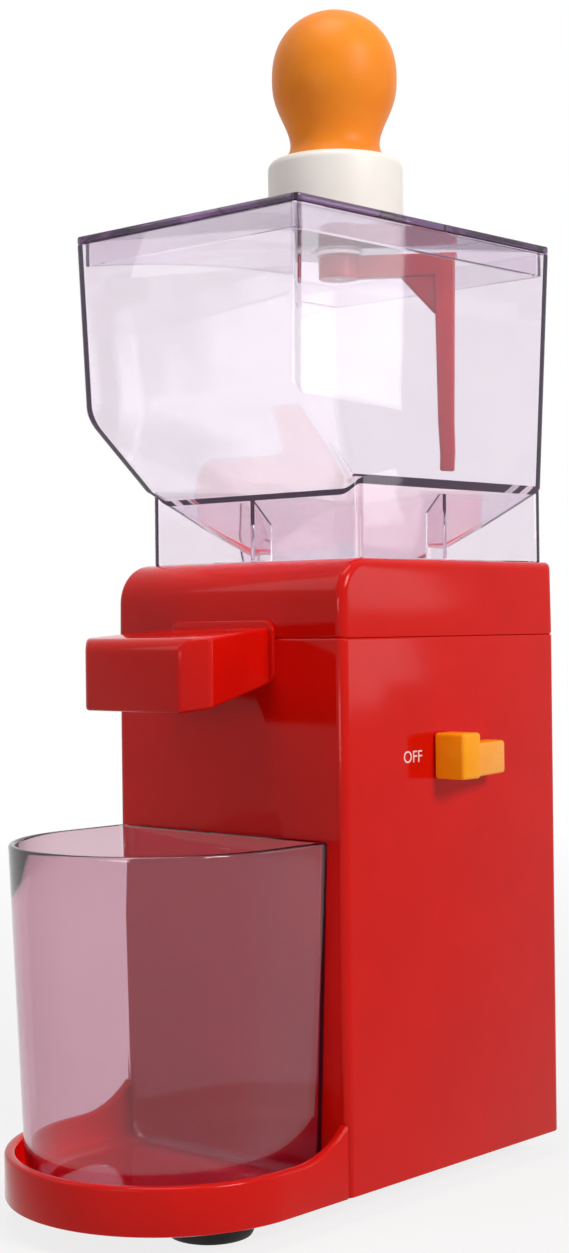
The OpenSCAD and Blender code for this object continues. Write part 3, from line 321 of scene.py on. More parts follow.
quarter = [radians(90 * i / 5) for i in range(6)]
section = (
    [(4.6, 0, floor_z), (0.8, 0, floor_z), (0.25, 0, floor_z + 0.25), (0, 0, floor_z + 0.8)]
    + [(rim_r * (1 - cos(a)), rim_r * (sin(a) - 1), None) for a in quarter]
    + [(tray_wall - rim_r * (1 - sin(a)), rim_r * (cos(a) - 1), None) for a in quarter]
    + [(tray_wall, 0, plate_top + 1.8), (tray_wall + 0.5, 0, plate_top + 0.6), (tray_wall + 1.6, 0, plate_top)]
)
plans = [tray_plan(inset) for inset, _, _ in section]
rings = [
    [(plans[s][k][0], plans[s][k][1], (rim_height(plans[s][k][1]) + rise) if z is None else z)
     for s, (_, rise, z) in enumerate(section)]
    for k in range(len(plans[0]))
]
tray = lofted("base_tray", rings)
plate = lofted("plate", [[(x, y, z) for x, y in tray_plan(4)] for z in (floor_z, plate_top)])
under = slab(-plate_w, plate_w, -plate_front, plate_back, floor_z, plate_top, 1)
worked(tray, "UNION", plate, under)
posts = [(x, y) for x in (-39, 39) for y in (-44.5, 41.5)]
feet_at = [(-24, -91), (24, -91), (-18, 35), (18, 35)]
for place in posts:
    head_hole = rod(head_hole_r, floor_z - 1, floor_z + 1, place, 24)
    worked(tray, "DIFFERENCE", rod(pass_r, floor_z - 1, plate_top + 1, place, 20), head_hole)
for place in feet_at:
    worked(tray, "DIFFERENCE", rod(pilot_r, floor_z - 1, plate_top + 1, place, 20))


def node_group(name, **inputs):
    """An empty geometry tree that takes these named sizes, with its input and output nodes."""
    group = bpy.data.node_groups.new(name, "GeometryNodeTree")
    group.interface.new_socket("Geometry", in_out="INPUT", socket_type="NodeSocketGeometry")
    for key, kind in inputs.items():
        group.interface.new_socket(key, in_out="INPUT", socket_type="NodeSocket" + kind)
    group.interface.new_socket("Geometry", in_out="OUTPUT", socket_type="NodeSocketGeometry")
    return group, group.nodes.new("NodeGroupInput"), group.nodes.new("NodeGroupOutput")


def grown(name, group, points, **values):
    """Runs a geometry tree on points in millimetres and gives back the plain mesh that it makes."""
    seed = bpy.data.meshes.new(name)
    seed.from_pydata([[c * mm for c in point] for point in points], [], [])
    piece = bpy.data.objects.new(name, seed)
    bpy.context.scene.collection.objects.link(piece)
    step = piece.modifiers.new(name, "NODES")
    step.node_group = group
    for item in group.interface.items_tree:
        if item.in_out == "INPUT" and item.name in values:
            step[item.identifier] = values[item.name]
    return settle(piece, 35)


def joined(tree, *parts):
    """Puts parts of a geometry tree together."""
    whole = add(tree, "GeometryNodeJoinGeometry")
    for part in parts:
        tree.links.new(part, whole.inputs[0])
    return whole.outputs[0]


def planted(tree, given, made, form, **facing):
    """Ends a geometry tree with its form on each point, as real faces in the material that it is given."""
    spread = add(tree, "GeometryNodeInstanceOnPoints", {
        "Points": given.outputs["Geometry"], "Instance": form, **facing})
    real = add(tree, "GeometryNodeRealizeInstances", {"Geometry": spread.outputs[0]})
    worn = add(tree, "GeometryNodeSetMaterial", {
        "Geometry": real.outputs[0], "Material": given.outputs["Material"]})
    tree.links.new(worn.outputs[0], made.inputs[0])


slot_tree, given, made = node_group("air_slots", Length="Float", Width="Float", Depth="Float", Material="Material")
slot_width = given.outputs["Width"]
outline = add(slot_tree, "GeometryNodeCurvePrimitiveQuadrilateral", {
    "Width": given.outputs["Length"], "Height": slot_width})
round_ends = add(slot_tree, "GeometryNodeFilletCurve", {
    "Curve": outline.outputs[0], "Radius": calc(slot_tree, "MULTIPLY", slot_width, 0.5),
    "Count": 5, "Limit Radius": True}, mode="POLY")
slot_face = add(slot_tree, "GeometryNodeFillCurve", {"Curve": round_ends.outputs[0]}, mode="NGONS")
slot_body = add(slot_tree, "GeometryNodeExtrudeMesh", {
    "Mesh": slot_face.outputs[0], "Offset Scale": given.outputs["Depth"], "Individual": False})
slot_low = add(slot_tree, "GeometryNodeFlipFaces", {"Mesh": slot_face.outputs[0]})
slot_whole = joined(slot_tree, slot_body.outputs[0], slot_low.outputs[0])
slot_tight = add(slot_tree, "GeometryNodeMergeByDistance", {"Geometry": slot_whole, "Distance": 1e-6})
planted(slot_tree, given, made, slot_tight.outputs[0])
slot_l, slot_w = 24, 2.6
slots_at = [(0, y + slot_w / 2, floor_z - 1) for y in range(-30, 13, 6)]
air_slots = grown(
    "air_slots", slot_tree, slots_at, Length=slot_l * mm, Width=slot_w * mm, Depth=5 * mm, Material=red)
worked(tray, "DIFFERENCE", air_slots)
fit(tray, "housing", "red_plastic", red, "base_tray")


# ---------------------------------------------------------------- rubber feet
# Four black rubber feet, each a moulded puck with a soft lower edge and a sunk hole for its
# screw. The front pair carries the tray and the rear pair the column.
rubber = plastic(
    "black_rubber", (0.022, 0.021, 0.021), (0.012, 0.012, 0.012), 0.55, patch=120, grain=2600, dent=1.2e-5, sway=0)
foot_profile = [
    (4, 0.25), (4.3, 0), (12, 0), (12.8, 0.3), (13.25, 1), (13.6, 2.2), (13.6, 6.9), (13.4, 7.6),
    (13, floor_z), (pass_r, floor_z), (pass_r, 3.2), (4, 3.2)]
for name, pair in (("front_feet", feet_at[:2]), ("rear_feet", feet_at[2:])):
    feet = worked(turned(name, foot_profile, pair[0], 56), "UNION", turned("foot", foot_profile, pair[1], 56))
    fit(feet, "housing", "rubber", rubber, name)


# ---------------------------------------------------------------- column
# A tall red box moulded in one piece, open below and above, with soft upright edges, corner
# posts for the drive and the base, lugs under the seam and seats for the switch. Its walls have
# the duct's opening, the switch's slot and the hole of the cord gland.
seam_z, wall, edge_r = 182, 2.5, 3
post_r, post_top, lug_r, lug_low, gland_z = 5, 118, 4.5, 172, 32


def column_ring(inset, z):
    """The column's outline, drawn in by an inset, at height z."""
    side, front, back = half_w - inset, -column_front + inset, column_back - inset
    return rounded(-side, side, front, back, max(edge_r - inset, 1), z, 8)


def duct_tool(y0, y1):
    """The opening that the chamber's duct passes, as a tool."""
    return slab(-13.3, 13.3, y0, y1, 167.7, 183.3, 0.3, 2)


column_section = (
    (0.7, floor_z), (0.2, floor_z + 0.2), (0, floor_z + 0.7), (0, seam_z - 0.9), (0.08, seam_z - 0.55),
    (0.3, seam_z - 0.25), (0.7, seam_z), (2.2, seam_z), (wall, seam_z - 0.3), (wall, floor_z + 0.3), (2.2, floor_z))
column = lofted("column_shell", [column_ring(inset, z) for inset, z in column_section], ends=False)
into_wall = half_w - wall + 0.5
for x, y in posts:
    end = into_wall if x > 0 else -into_wall
    web = slab(min(x, end), max(x, end), y - 1, y + 1, plate_top, post_top, 0.3, 2)
    worked(column, "UNION", web, rod(post_r, plate_top, post_top, (x, y)))
lugs = [(x, y) for x in (-45.5, 45.5) for y in (-28, 28)]
for place in lugs:
    worked(column, "UNION", rod(lug_r, lug_low, seam_z - 0.1, place))
switch_z, switch_y = 143, 1.5
switch_ends = (switch_y - 18, switch_y + 18)
for y in switch_ends:
    worked(column, "UNION", laid(rod(4, 0, 5.5), (1, 0, 0), (44, y, switch_z)))
worked(column, "DIFFERENCE", slab(wall - half_w, half_w - wall, -60, -55, floor_z - 1, plate_top, 0.3, 2))
for place in posts:
    base_hole, drive_hole = rod(pilot_r, 10, 23, place, 16), rod(pilot_r, 106, post_top + 1, place, 16)
    worked(column, "DIFFERENCE", base_hole, drive_hole)
for place in lugs:
    worked(column, "DIFFERENCE", rod(pass_r, lug_low - 1, seam_z + 1, place, 16))
slider_slot = slab(48, 53, -5.3, 8.3, 139.7, 146.3, 0.3, 2)
gland_hole = laid(rod(6.15, 0, 4), (0, 1, 0), (0, 52, gland_z))
worked(column, "DIFFERENCE", duct_tool(-60, -54), slider_slot, gland_hole)
fit(column, "housing", "red_plastic", red, "column_shell")

# The switch's off position is printed beside the slider in white ink.
ink = plastic("white_ink", (0.86, 0.72, 0.7), (0.78, 0.6, 0.58), 0.5, patch=900, grain=4000, sway=0)
mark_w, mark_h, mark_y, mark_z, ink_rise = 9.2, 3.8, -28.8, 141.4, 0.02
letters = bpy.data.curves.new("off_mark", "FONT")
letters.body = "OFF"
letters.size = 5.4 * mm
letters.extrude = 0.04 * mm
letters.space_character = 1.02
stencil = bpy.data.objects.new("stencil", letters)
bpy.context.scene.collection.objects.link(stencil)
mark_mesh = bpy.data.meshes.new_from_object(stencil.evaluated_get(bpy.context.evaluated_depsgraph_get()))
bpy.data.objects.remove(stencil)
mark = bpy.data.objects.new("off_mark", mark_mesh)
bpy.context.scene.collection.objects.link(mark)
corners = [v.co.copy() for v in mark_mesh.vertices]
low = Vector((min(v.x for v in corners), min(v.y for v in corners), 0))
wide, tall = max(v.x for v in corners) - low.x, max(v.y for v in corners) - low.y
stretch = Matrix.Diagonal((mark_w * mm / wide, mark_h * mm / tall, 1, 1))
onto_side = Matrix((
    (0, 0, 1, (half_w + ink_rise) * mm), (1, 0, 0, mark_y * mm), (0, 1, 0, mark_z * mm), (0, 0, 0, 1)))
mark_mesh.transform(onto_side @ stretch @ Matrix.Translation(-low))
fit(mark, "housing", "white_plastic", ink)


# ---------------------------------------------------------------- cord gland
# A black flanged gland in the back wall, through which the mains lead enters. A hexagon nut
# inside holds it.
black = plastic(
    "black_nylon", (0.03, 0.03, 0.031), (0.018, 0.018, 0.019), 0.38, gloss=0.5, patch=80, grain=1800, dent=5e-6,
    sway=0)
gland = turned("cord_gland", [
    (3.5, -7.5), (3.5, 2.6), (3.9, 3), (8.6, 3), (9.3, 2.7), (9.5, 2.1), (9.5, 0.3), (9.3, 0),
    (6, 0), (6, -7.2), (5.7, -7.5)])
laid(gland, (0, 1, 0), (0, column_back, gland_z))
fit(gland, "housing", "black_plastic", black, "cord_gland")
nodes["gland_nut"].material_slots[0].material = black


# ---------------------------------------------------------------- switch
# A slide switch screwed to two seats inside the right wall. Its yellow grip runs outside, tall in
# front where the finger pushes and low and tapered behind.
def cut_bar(outline, z0, z1):
    """An upright prism over an outline in X and Y."""
    return lofted("bar", [[(x, y, z) for x, y in outline] for z in (z0, z1)])


yellow = plastic(
    "yellow_grip", (1, 0.38, 0.006), (0.97, 0.32, 0.004), 0.3, gloss=0.18, patch=90, grain=1500, dent=4e-6, sway=2e-5)
clear_of_wall = half_w + 0.3
slider = eased(cut_bar([
    (clear_of_wall, -12), (63.7, -12), (63.7, -5.5), (59.5, 14.6), (clear_of_wall, 14.6)], 136, 147), 1.2, 4)
slider.name = "switch_slider"
grip = eased(cut_bar([
    (clear_of_wall, -13.7), (64, -13.7), (64, -4.3), (clear_of_wall, -4.3)], 135.5, 150.5), 1.2, 4)
tongue = slab(41, clear_of_wall + 1, -5, 1, 140, 146, 0.4, 3)
worked(slider, "UNION", grip, tongue, crease=40)
fit(slider, "switch_slider", "yellow_plastic", yellow, "switch_slider")
nodes["slide_switch"].material_slots[0].material = black


# ---------------------------------------------------------------- screws
# Pan head steel screws with a cross recess and a rolled thread, one kind in several lengths.
# They hold the feet, base, cover, drive, spout, switch, gearbox, chamber, cap and paddle.
def metal(name, light, deep, rough, shine=1.0, patch=220, line=(1, 1, 1), dent=3e-6):
    """Bare metal: tone and gloss that vary in fine lines, as turned, rolled or cast."""
    finish, tree, at = blank_finish(name)
    along = add(tree, "ShaderNodeMapping", {"Vector": at, "Scale": line})
    lines = noise(tree, along.outputs[0], patch * 6, 6, 0.65)
    both = calc(tree, "MULTIPLY", lines, noise(tree, at, patch, 4))
    body = add(tree, "ShaderNodeBsdfPrincipled", {
        "Base Color": tinted(tree, mapped(tree, both, 0.12, 0.4), deep, light),
        "Roughness": mapped(tree, lines, 0.3, 0.7, rough * 0.75, rough * 1.3),
        "Normal": bump(tree, lines, dent), "Metallic": shine})
    add(tree, "ShaderNodeOutputMaterial", {"Surface": body.outputs[0]})
    return finish


zinc = metal("zinc_plated_steel", (0.62, 0.62, 0.6), (0.42, 0.42, 0.4), 0.32, patch=500)
screw_tree, given, made = node_group(
    "pan_head_screw", Length="Float", Radius="Float", Pitch="Float", Direction="Vector", Material="Material")
radius, length, pitch = (given.outputs[key] for key in ("Radius", "Length", "Pitch"))


def sized(value, factor):
    """A size of the screw times a factor."""
    return calc(screw_tree, "MULTIPLY", value, factor)


def triple(x=0, y=0, z=0):
    """A place or a size of the screw, from its three parts."""
    return add(screw_tree, "ShaderNodeCombineXYZ", {"X": x, "Y": y, "Z": z}).outputs[0]


place = add(screw_tree, "GeometryNodeInputPosition").outputs[0]
part_x, part_y, part_z = add(screw_tree, "ShaderNodeSeparateXYZ", {0: place}).outputs
# the head: a low drum whose upper rings draw in to a dome
head_r, head_h = sized(radius, 2.0), sized(radius, 1.45)
head = add(screw_tree, "GeometryNodeMeshCylinder", {
    "Vertices": 28, "Side Segments": 7, "Radius": head_r, "Depth": head_h})
share = calc(screw_tree, "ADD", calc(screw_tree, "DIVIDE", part_z, head_h), 0.5)
draw = calc(screw_tree, "SUBTRACT", 1.0, sized(calc(screw_tree, "POWER", share, 5.0), 0.36))
drawn = triple(sized(part_x, draw), sized(part_y, draw), calc(screw_tree, "ADD", part_z, sized(head_h, 0.5)))
dome = add(screw_tree, "GeometryNodeSetPosition", {"Geometry": head.outputs[0], "Position": drawn})
# the recess: two crossed bars sunk into the head
bars = []
for across, along in ((2.3, 0.5), (0.5, 2.3)):
    bar = triple(sized(radius, across), sized(radius, along), sized(radius, 1.6))
    cube = add(screw_tree, "GeometryNodeMeshCube", {"Size": bar})
    sunk = add(screw_tree, "GeometryNodeTransform", {
        "Geometry": cube.outputs[0], "Translation": triple(z=sized(radius, 1.5))})
    bars.append(sunk.outputs[0])
slotted = add(screw_tree, "GeometryNodeMeshBoolean", {
    "Mesh 1": dome.outputs[0], "Mesh 2": joined(screw_tree, *bars)}, operation="DIFFERENCE", solver="EXACT")
# the shank: a rod whose surface rises and falls in a helix
shank = add(screw_tree, "GeometryNodeMeshCylinder", {
    "Vertices": 14, "Side Segments": sized(calc(screw_tree, "DIVIDE", length, pitch), 4.0),
    "Radius": radius, "Depth": length})
angle = calc(screw_tree, "ARCTAN2", part_y, part_x)
climb = sized(calc(screw_tree, "DIVIDE", part_z, pitch), 2 * pi)
ridge = calc(screw_tree, "SINE", calc(screw_tree, "SUBTRACT", climb, angle))
swell = calc(screw_tree, "ADD", sized(ridge, 0.07), 0.93)
sunk_z = calc(screw_tree, "SUBTRACT", part_z, sized(length, 0.5))
threaded = triple(sized(part_x, swell), sized(part_y, swell), sunk_z)
thread = add(screw_tree, "GeometryNodeSetPosition", {"Geometry": shank.outputs[0], "Position": threaded})
facing = add(screw_tree, "FunctionNodeAlignRotationToVector", {"Vector": given.outputs["Direction"]}, axis="Z")
whole_screw = joined(screw_tree, slotted.outputs[0], thread.outputs[0])
planted(screw_tree, given, made, whole_screw, Rotation=facing.outputs[0])


def screws(name, places, direction, length, body="housing"):
    """A set of screws of one length, whose heads sit on places and face a direction."""
    row = grown(
        name, screw_tree, places, Length=length * mm, Radius=screw_r * mm, Pitch=screw_pitch * mm,
        Direction=direction, Material=zinc)
    return fit(row, body, "screw_steel", zinc, name)


screw_r, screw_pitch = 1.5, 0.9
case_floor, case_top, boss_low, chamber_top = 126, 150, 155, 190
gear_module, large_teeth, up, down = 0.7, 53, (0, 0, 1), (0, 0, -1)
case_r = gear_module * (large_teeth / 2 + 1) + 1.2
case_screws = [(s * (case_r + 4), y) for s in (-1, 1) for y in (-11, 30)]
ring_four = [(cos(radians(a)), sin(radians(a))) for a in range(45, 360, 90)]
screws("foot_screws", [(x, y, 3.2) for x, y in feet_at], down, 7.6)
screws("base_screws", [(x, y, floor_z + 1) for x, y in posts], down, 12)
screws("cover_screws", [(x, y, lug_low) for x, y in lugs], down, 20)
screws("drive_screws", [(x, y, case_floor) for x, y in posts], up, 18)
screws("spout_screws", [(x, -55.5, 171.4) for x in (-16.4, 16.4)], (0, 1, 0), 4.5)
screws("switch_screws", [(42, y, switch_z) for y in switch_ends], (-1, 0, 0), 6)
screws("gearbox_screws", [(x, y, boss_low) for x, y in case_screws], up, 13)
screws("chamber_screws", [(15.5 * x, 15.5 * y, case_top) for x, y in ring_four], down, 12)
screws("cap_screws", [(34 * x, 34 * y, chamber_top + 4) for x, y in ring_four], up, 12)
screws("paddle_screw", [(0, 0, 305.7)], down, 8, "stirrer")


# ---------------------------------------------------------------- motor
# A mains motor with carbon brushes, hung in the column under the gearbox: laminated iron, copper
# coils, a cast bracket below, four long bolts through sleeves, and a fan above the iron.
def dress(finish, *names):
    """Gives the machine's inner pieces their finish."""
    for name in names:
        nodes[name].material_slots[0].material = finish


laminated = metal(
    "stacked_iron", (0.33, 0.33, 0.34), (0.2, 0.2, 0.21), 0.42, patch=120, line=(0.2, 0.2, 14), dent=2e-5)
copper = metal("enamelled_copper", (0.72, 0.25, 0.09), (0.5, 0.15, 0.05), 0.3, patch=260, line=(1, 1, 5), dent=3e-5)
cast = metal("die_cast_alloy", (0.52, 0.53, 0.54), (0.36, 0.37, 0.38), 0.5, patch=160, dent=1.5e-5)
ground = metal("ground_steel", (0.68, 0.68, 0.67), (0.5, 0.5, 0.5), 0.18, patch=160, line=(1, 1, 18))
bronze = metal("sintered_bronze", (0.62, 0.36, 0.15), (0.42, 0.24, 0.1), 0.45, patch=420, dent=1.2e-5)
brass = metal("pressed_brass", (0.78, 0.55, 0.2), (0.6, 0.4, 0.13), 0.28, patch=200)
carbon = metal("pressed_carbon", (0.05, 0.05, 0.052), (0.025, 0.025, 0.026), 0.6, shine=0.25, patch=600, dent=8e-6)
dress(laminated, "stator_core", "armature_core")
dress(copper, "field_coils", "armature_windings", "commutator")
dress(cast, "motor_bracket")
dress(zinc, "spacer_sleeves", "motor_bolts")
dress(brass, "brush_holders")
dress(carbon, "carbon_brushes")
dress(bronze, "upper_motor_bush", "lower_motor_bush")
dress(ground, "motor_shaft")
dress(black, "cooling_fan")


# ---------------------------------------------------------------- gearbox
# A cast case on four rubber mounts. The motor's pinion turns an idler on a fixed pin, and the
# idler's own pinion turns the output gear on the grinder's shaft.
dress(rubber, "rubber_mounts")
dress(cast, "gearbox_case", "gearbox_cover")
dress(ground, "idler_pin", "motor_pinion", "idler_gear", "output_gear")


# ---------------------------------------------------------------- grinder
# A cast chamber with a screwed cap, a fixed burr in the cap and a turning burr on the main shaft,
# with a small feed auger above and a wiper below that sweeps the chamber out into the duct.
hard = metal("hardened_steel", (0.55, 0.55, 0.55), (0.38, 0.38, 0.39), 0.26, patch=300, line=(1, 1, 6), dent=6e-6)
dress(cast, "grind_chamber", "chamber_cap")
dress(hard, "fixed_burr", "rotor_burr", "feed_auger", "discharge_wiper")
dress(zinc, "burr_nut")
dress(bronze, "lower_shaft_bush", "upper_shaft_bush")
dress(rubber, "shaft_seal")
dress(ground, "main_shaft")


# ---------------------------------------------------------------- top cover
# The red lid of the column: a shallow hood with a large round brow over the spout, softer side
# edges, and a well in its top that takes the hopper's funnel. Screws from below hold it.
top_z, brow_r, back_r, draft, well_wall = 207, 13, 1.4, 0.45, 2


def brow_ring(x, inset, z_low):
    """The cover's side outline at one distance along X, drawn in by an inset."""
    lower = ((0, 0.9), (0.08, 0.55), (0.3, 0.25), (0.7, 0))
    brow = [radians(180 - 90 * i / 14) for i in range(15)]
    back = [radians(90 - 90 * i / 4) for i in range(5)]
    r = brow_r - inset
    ring = [(column_back - inset - d, z_low + rise) for d, rise in lower]
    ring += [(-column_front + inset + d, z_low + rise) for d, rise in reversed(lower)]
    ring += [(-column_front + brow_r + r * cos(a), top_z - brow_r + r * sin(a)) for a in brow]
    ring += [
        (column_back - inset - back_r + back_r * cos(a), top_z - inset - back_r + back_r * sin(a)) for a in back]
    return [(x, y, z) for y, z in ring]


def hood(inset, r, z_low):
    """The cover's whole form as a solid, drawn in on every side but the lower one."""
    turns = [radians(90 - 90 * i / 7) for i in range(8)]
    stations = [(-half_w + inset + r * (1 - sin(a)), inset + r * (1 - cos(a))) for a in turns]
    stations += [(-x, d) for x, d in reversed(stations)]
    return [brow_ring(x, d, z_low) for x, d in stations]


cover = lofted("top_cover", hood(0, edge_r, seam_z), crease=28)
for corner in cover.data.vertices:
    corner.co.x *= 1 - draft * (corner.co.z / mm - seam_z) / ((top_z - seam_z) * half_w)
worked(cover, "DIFFERENCE", lofted("hollow", hood(wall, 1, seam_z - 5)))
for place in lugs:
    worked(cover, "UNION", rod(lug_r, seam_z + 0.1, 205, place))
side_slope, front_slope, back_slope, spigot_r = 33.2 / 32.5, 53.5 / 59.7, 33.2 / 39.8, 14.9
well_x = spigot_r + 7.5 / side_slope + 1.2
well_front = spigot_r + 4.5 / front_slope + 3.2
well_back = spigot_r + 7.5 / back_slope + 1.2


def well_ring(d, r, z):
    """The well's outline, wider by d on every side."""
    return rounded(-well_x - d, well_x + d, -well_front - d, well_back + d, r, z)


rim_of_well = lofted("rim_of_well", [well_ring(well_wall, 3, z) for z in (200, 206)])
mouth = lofted("mouth", [
    well_ring(d, 2 + d, z) for d, z in ((0, 199), (0, 206.2), (0.25, 206.75), (0.8, top_z), (0.8, top_z + 1))])
worked(cover, "UNION", rim_of_well)
worked(cover, "DIFFERENCE", mouth)
for place in lugs:
    worked(cover, "DIFFERENCE", rod(pilot_r, seam_z - 1, 194, place, 16))
worked(cover, "DIFFERENCE", duct_tool(-60, -54), crease=28)
fit(cover, "housing", "red_plastic", red, "top_cover")


# ---------------------------------------------------------------- spout
# A red hood with a flared plan, chamfered front corners and a round upper front edge. The
# chamber's duct opens into it from behind, and it is open below, over the cup. A moulded collar
# seats it on the column.
low_root, spout_h, spout_reach, low_fall, top_fall, brim_r = 167.4, 18, 41.3, 8.1, 3.3, 5
collar_half, collar_top, collar_r = 23.3, 187.7, 4
y_root, y_front = -column_front, -column_front - spout_reach


def hood_plan(g):
    """The spout's outline from above, drawn in by g."""
    right_side = [(21 - g, y_root + 1), (28.3 - g, y_front + 7), (21.3 - g * 0.4, y_front + g)]
    return right_side + [(-x, y) for x, y in reversed(right_side)]


def hood_side(g, y_back):
    """The spout's outline from the side, drawn in by g and longer below where it is a cutter."""
    slope = atan(top_fall / spout_reach)
    front_z = low_root + spout_h - top_fall
    mid = (y_front + brim_r, front_z + brim_r * tan(slope) - brim_r / cos(slope))
    r = brim_r - g
    arc = [radians(180 - (90 - slope * 180 / pi) * i / 12) for i in range(13)]
    rise = (y_back - y_root) * tan(slope)
    return (
        [(y_back, low_root - g * 3), (y_front + g, low_root - low_fall - g * 3)]
        + [(mid[0] + r * cos(a), mid[1] + r * sin(a)) for a in arc]
        + [(y_back, low_root + spout_h + rise - g / cos(slope))]
    )


def spout_form(g, y_back):
    """The spout as a solid, drawn in by g: what its outlines from above and from the side have in common."""
    block = lofted("spout_form", [[(x, y, z) for x, y in hood_plan(g)] for z in (150, 195)])
    profile = lofted("profile", [[(x, y, z) for y, z in hood_side(g, y_back)] for x in (-40, 40)])
    return worked(block, "INTERSECT", profile)


spout = spout_form(0, y_root)
spout.name = "spout"
eased(spout, 1.3, 4, 25)
hollow = spout_form(wall, y_root - 3)
collar = lofted("collar", [
    [(x, y_root - 1.5 + dy, z) for x, z, _ in rounded(
        -collar_half + d, collar_half - d, low_root + d, collar_top - d, collar_r - d, 0, 8)]
    for d, dy in ((0.6, 0), (0.17, 0.17), (0, 0.6), (0, 1.5))])
worked(spout, "DIFFERENCE", hollow)
worked(spout, "UNION", collar)
worked(spout, "DIFFERENCE", duct_tool(-64, -57), crease=28)
fit(spout, "housing", "red_plastic", red, "spout")


# ---------------------------------------------------------------- hopper
# A clear bin with a lilac tint, moulded with its funnel and with the skirt that stands on the
# cover. Its four flat walls lean out a little to the rim, and the front one overhangs the spout.
def clear_plastic(name, tint, rough, density, haze_tone, share):
    """Clear plastic: its tint deepens with the path through it, its face is a little milky in cloudy patches, lamps
    shine through.
    """
    finish, tree, at = blank_finish(name)
    smear = noise(tree, at, 45, 5, twist=0.8)
    glass = add(tree, "ShaderNodeBsdfPrincipled", {
        "Base Color": tinted(tree, noise(tree, at, 20, 2), (0.985, 0.96, 0.985), (1, 0.98, 0.995)),
        "Roughness": mapped(tree, smear, 0.35, 0.75, rough * 0.6, rough * 1.6),
        "Normal": bump(tree, noise(tree, at, 12, 2), 1.5e-4), "Transmission Weight": 1.0, "IOR": 1.49})
    haze = add(tree, "ShaderNodeBsdfDiffuse", {"Color": (*haze_tone, 1)})
    cloudy = mapped(tree, smear, 0.3, 0.7, share * 0.8, share * 1.2)
    whole = blended(tree, cloudy, glass.outputs[0], haze.outputs[0])
    through = add(tree, "ShaderNodeBsdfTransparent", {"Color": (0.93, 0.87, 0.92, 1)})
    shadow = add(tree, "ShaderNodeLightPath").outputs["Is Shadow Ray"]
    depth = add(tree, "ShaderNodeVolumeAbsorption", {"Color": (*tint, 1), "Density": density})
    add(tree, "ShaderNodeOutputMaterial", {
        "Surface": blended(tree, shadow, whole, through.outputs[0]), "Volume": depth.outputs[0]})
    return finish


lilac = clear_plastic("lilac_acrylic", (0.31, 0.044, 0.356), 0.03, 21, (0.24, 0.07, 0.3), 0.035)
rim_top, front_foot, side_foot, neck = 315, 256, 232.7, 199.5
rim_x, rim_front, rim_back, bin_r = 50.8, 75.9, 56.2, 2.6
fold_x, fold_front, fold_back, clear_t, bend_reach = 47.4, 74.6, 54.7, 2.4, 4
skirt_front, skirt_back, skirt_top = 44.7, 54, 233.1


def between(z, table):
    """The value at height z on a line through pairs of height and value, from the lowest up."""
    for (z0, v0), (z1, v1) in zip(table, table[1:]):
        if z <= z1 or (z1, v1) == table[-1]:
            return v0 + (v1 - v0) * (z - z0) / (z1 - z0)


def led_round(z, table, bend):
    """The same line, but led round its bend from a little below it to a little above."""
    if abs(z - bend) >= bend_reach:
        return between(z, table)
    t = (z - bend + bend_reach) / (2 * bend_reach)
    low, mid, high = (between(bend + step, table) for step in (-bend_reach, 0, bend_reach))
    return (1 - t) ** 2 * low + 2 * t * (1 - t) * mid + t * t * high


def bin_form(name, t, low_end, top_end):
    """The bin and funnel as a solid whose faces lie t inside the outer ones, with its lowest and highest rings."""
    r, corner_r = spigot_r - t, bin_r - t * 0.6

    def wall_line(slope, start, fold_z, fold, rim):
        """One wall's distance from the axis: up the funnel's slope to the fold, then up to the rim."""
        skew = t * (sqrt(1 + slope * slope) - slope)
        return [(start + skew, r), (fold_z + skew, fold - t), (rim_top, rim - t)]

    side = wall_line(side_slope, neck, side_foot, fold_x, rim_x)
    front = wall_line(front_slope, neck + 3, front_foot, fold_front, rim_front)
    back = wall_line(back_slope, neck, side_foot, fold_back, rim_back)
    corner = [(neck + 2.5, r), (208, 11), (220, 5), (side_foot, corner_r), (rim_top, corner_r)]
    bend = front[1][0]
    breaks = [z for line in (side, front, back, corner) for z, _ in line[:-1]] + [rim_top]
    breaks += [bend + bend_reach * (i / 4 - 1) for i in range(9)]
    rings = [rounded(-r + d, r - d, -r + d, r - d, r - d, z, 8) for d, z in low_end]
    for z in sorted(set(round(z, 3) for z in breaks))[:-1]:
        widths = between(z, side), led_round(z, front, bend), between(z, back)
        x, yf, yb = (max(width, r) for width in widths)
        rings.append(rounded(-x, x, -yf, yb, min(max(between(z, corner), 0.6), x, (yf + yb) / 2), z, 8))
    x, yf, yb = rim_x - t, rim_front - t, rim_back - t
    rings += [rounded(-x - d, x + d, -yf - d, yb + d, max(corner_r + d, 0.6), z, 8) for d, z in top_end]
    return lofted(name, rings, crease=24)


hopper = bin_form(
    "hopper", 0, [(0.5, 189), (0.15, 189.15), (0, 189.5), (0, 199)],
    [(0, rim_top - 0.6), (-0.18, rim_top - 0.15), (-0.6, rim_top)])
skirt = lofted("skirt", [
    rounded(-fold_x + d, fold_x - d, -skirt_front + d, skirt_back - d, bin_r - d, z, 8)
    for d, z in ((0, 207.3), (0, skirt_top), (2, skirt_top), (2, 207.2), (1.7, top_z), (0.3, top_z))], ends=False)
worked(hopper, "UNION", skirt)
for x0, x1, y0, y1 in ((-0.9, 0.9, -43.5, -34), (38, 46.2, -0.9, 0.9), (-46.2, -38, -0.9, 0.9)):
    worked(hopper, "UNION", slab(x0, x1, y0, y1, 207.6, 229, 0.3, 2))
hollow = bin_form(
    "hollow", clear_t, [(-0.4, 188), (-0.4, 189), (0, 189.5), (0, 199.4)],
    [(0, rim_top - 0.5), (0.4, rim_top), (0.4, rim_top + 1)])
worked(hopper, "DIFFERENCE", hollow, crease=24)
fit(hopper, "hopper", "clear_plastic", lilac, "hopper")


